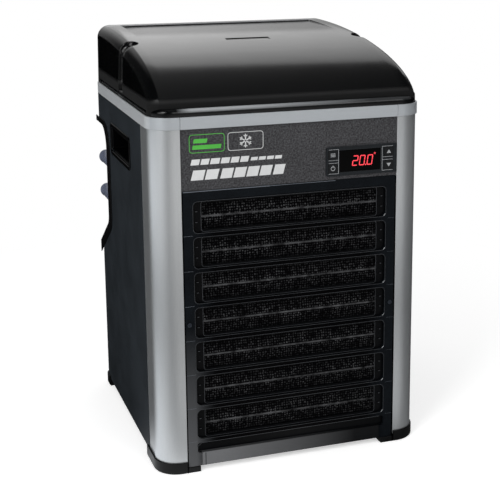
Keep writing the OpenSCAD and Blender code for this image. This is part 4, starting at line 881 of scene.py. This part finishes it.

# Fine pale lines are painted highlights on the edges that a picture this small would lose:
# the seams beside the bars, the frame round each window of net with its ticks, the slots'
# rims and the head's top edge, and a painted glint in one corner. An eighth slot is cut off
# by the bottom lip.
seams, windows, ticks, rims, glints = [], [], [], [], []
tick_start, tick_end, glint_start, glint_end = 0.1255, 0.1283, 0.1288, 0.132
for number in range(slots):
    low = net_low.z + number * slot_pitch
    high = low + slot_tall
    seam_z = low - (slot_pitch - slot_tall) / 2
    seams.append(stroke(grille_low.x + 0.0006, seam_z, grille_low.x + 0.0136, seam_z, 0.00035))
    seams.append(stroke(grille_high.x - 0.0116, seam_z, grille_high.x - 0.0006, seam_z, 0.00016))
    windows += frame_line(net_low.x - 0.0004, low + 0.0008, net_high.x + 0.0004, high - 0.0008,
                          0.004, 0.0005)
    for side in (-1, 1):
        for z in ((low + high) / 2 - 0.007, (low + high) / 2 + 0.007):
            ticks.append(stroke(side * tick_start, z, side * tick_end, z, 0.0007))
    rims += frame_line(-slot_x, low + 0.0001, slot_x, high - 0.0001, 0.006, 0.0004)
    glints.append(stroke(glint_start, low + 0.0011, glint_end, low + 0.0045, 0.0007))
cut_top, cut_x = net_low.z - slot_pitch + slot_tall, slot_x - 0.006
rims += [stroke(-cut_x, cut_top, cut_x, cut_top, 0.0005),
         stroke(-slot_x, 0.029, -slot_x, cut_top - 0.005, 0.0005),
         stroke(0.0002 - slot_x, cut_top - 0.0045, -cut_x, cut_top, 0.0005)]
head_z, head_thins = grille_high.z - 0.0007, -0.03
head = [stroke(-0.1446, head_z, head_thins, head_z, 0.0011),
        stroke(head_thins, head_z, 0.06, head_z, 0.0007)]

# Dark lines are painted shadow in the real gaps: beside the pillars, through the front feet, in the
# lip
foot_low, foot_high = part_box("foot_front_left")
gap_x, split_x, lip_x = grille_high.x - 0.0007, grille_high.x + 0.0002, net_low.x - 0.0012
gaps = [stroke(x, grille_low.z + 0.0005, x, grille_high.z - 0.001, 0.0015)
        for x in (-gap_x, gap_x)]
splits = [stroke(x, 0.0006, x, foot_high.z - 0.0012, 0.0013) for x in (-split_x, split_x)]
lip_split = [stroke(lip_x, frame_low.z + 0.0002, lip_x, lip_top, 0.0009)]

seam_highlight_paint = grained("painted_seam_highlight_abs", "#474c53", "#666c74", 0.3, 0.0016, 0.00003, shine=0.4)
window_highlight_paint = grained("painted_window_highlight_abs", "#2c2e31", "#474a4e", 0.35, 0.0016, 0.00003, shine=0.4)
glint_abs = grained("corner_glint_abs", "#8a8d90", "#c0c3c6", 0.25, 0.0016, 0.00002, shine=0.5)
shadow_abs = grained("gap_shadow_abs", "#000000", "#010102", 0.6, 0.0016, 0.00002, shine=0.0)
front_y = grille_low.y
for name, shapes, face_y, material in (
        ("grille_seams", seams, front_y, seam_highlight_paint),
        ("window_edges", windows, frame_low.y + 0.0045, window_highlight_paint),
        ("window_ticks", ticks, frame_low.y + 0.0031, window_highlight_paint),
        ("opening_edges", rims, front_y, window_highlight_paint), ("head_edge", head, front_y, seam_highlight_paint),
        ("corner_glints", glints, front_y, glint_abs), ("pillar_gaps", gaps, front_y, shadow_abs),
        ("foot_splits", splits, foot_low.y, shadow_abs),
        ("lip_split", lip_split, frame_low.y, shadow_abs)):
    on_case = name == "foot_splits"
    print_on(name, shapes, face_y, material,
             "case" if on_case else "grille")

# Each stile ends in a short square foot beside the lip
foot_place, foot_size = (0.1295, -0.1845, 0.0172), (0.0058, 0.0058, 0.0176)
for side, out in (("left", -1), ("right", 1)):
    bm = bmesh.new()
    bmesh.ops.create_cube(bm, size=1)
    for vert in bm.verts:
        x, y, z = [p + s * c for p, s, c in zip(foot_place, foot_size, vert.co)]
        vert.co = Vector((out * x, y, z))
    bmesh.ops.bevel(bm, geom=list(bm.edges), offset=0.0004, offset_type="OFFSET", segments=2,
                    profile=0.5, affect="EDGES", material=-1)
    bmesh.ops.recalc_face_normals(bm, faces=bm.faces)
    place_new("stile_foot_" + side, bm, grille_abs, "grille")

# Connector bay
# A niche moulded in black ABS, with two swivel elbows for the tank's hoses, in
# grey glass-filled nylon with a smooth shine.
dress("connector_bay", pocket_plastic, 0.0006)
fitting = grained("glass_filled_nylon", "#5b6172", "#767d90", 0.14, 0.002, 0.00002, shine=1.0)
for level in ("upper", "lower"):
    dress("water_socket_" + level, fitting, 0.0004)
    dress("elbow_" + level, fitting, 0.0004)
rubber = grained("nitrile_rubber", "#0c0c0c", "#151515", 0.6, 0.001, 0.00005, shine=0.25)
coat_node("elbow_seals", rubber)
dress("mains_gland", pocket_plastic, 0.0004)

# Cooling unit
# Aluminium fins on copper tubes, a fan in a steel shroud, a black compressor on
# rubber grommets and a lagged heat exchanger with its pipes.
fin_metal = grained("mill_aluminium", "#b0b3b5", "#cfd1d3", 0.35, 0.003, 0.00003, metal=1.0)
copper = grained("drawn_copper", "#b06a44", "#c98560", 0.3, 0.006, 0.00003, metal=1.0)
bracket = grained("galvanised_steel", "#85888b", "#a6a9ab", 0.42, 0.006, 0.00003, metal=1.0)
unit_paint = grained("black_enamel", "#0b0b0c", "#161617", 0.3, 0.002, 0.00006)
fan_plastic = grained("fan_polyamide", "#1c1d1f", "#2a2c2e", 0.45, 0.0015, 0.00005)
vessel_plastic = grained("vessel_polymer", "#26313a", "#35424c", 0.4, 0.002, 0.00006)
box_plastic = grained("light_grey_abs", "#d2d2cc", "#e2e2dc", 0.45, 0.0015, 0.00005)
finishes = {
    fin_metal: ("condenser_fins",),
    copper: ("condenser_tubes", "return_bends", "discharge_pipe", "liquid_pipe", "suction_pipe",
             "filter_drier"),
    bracket: ("fan_bracket", "vessel_stool", "temperature_probe"),
    unit_paint: ("compressor", "terminal_cover", "fan_shroud", "fan_motor"),
    fan_plastic: ("fan",),
    rubber: ("grommets", "water_pipes"),
    vessel_plastic: ("vessel",),
    box_plastic: ("control_box",),
}
for material, names in finishes.items():
    for name in names:
        coat_node(name, material)
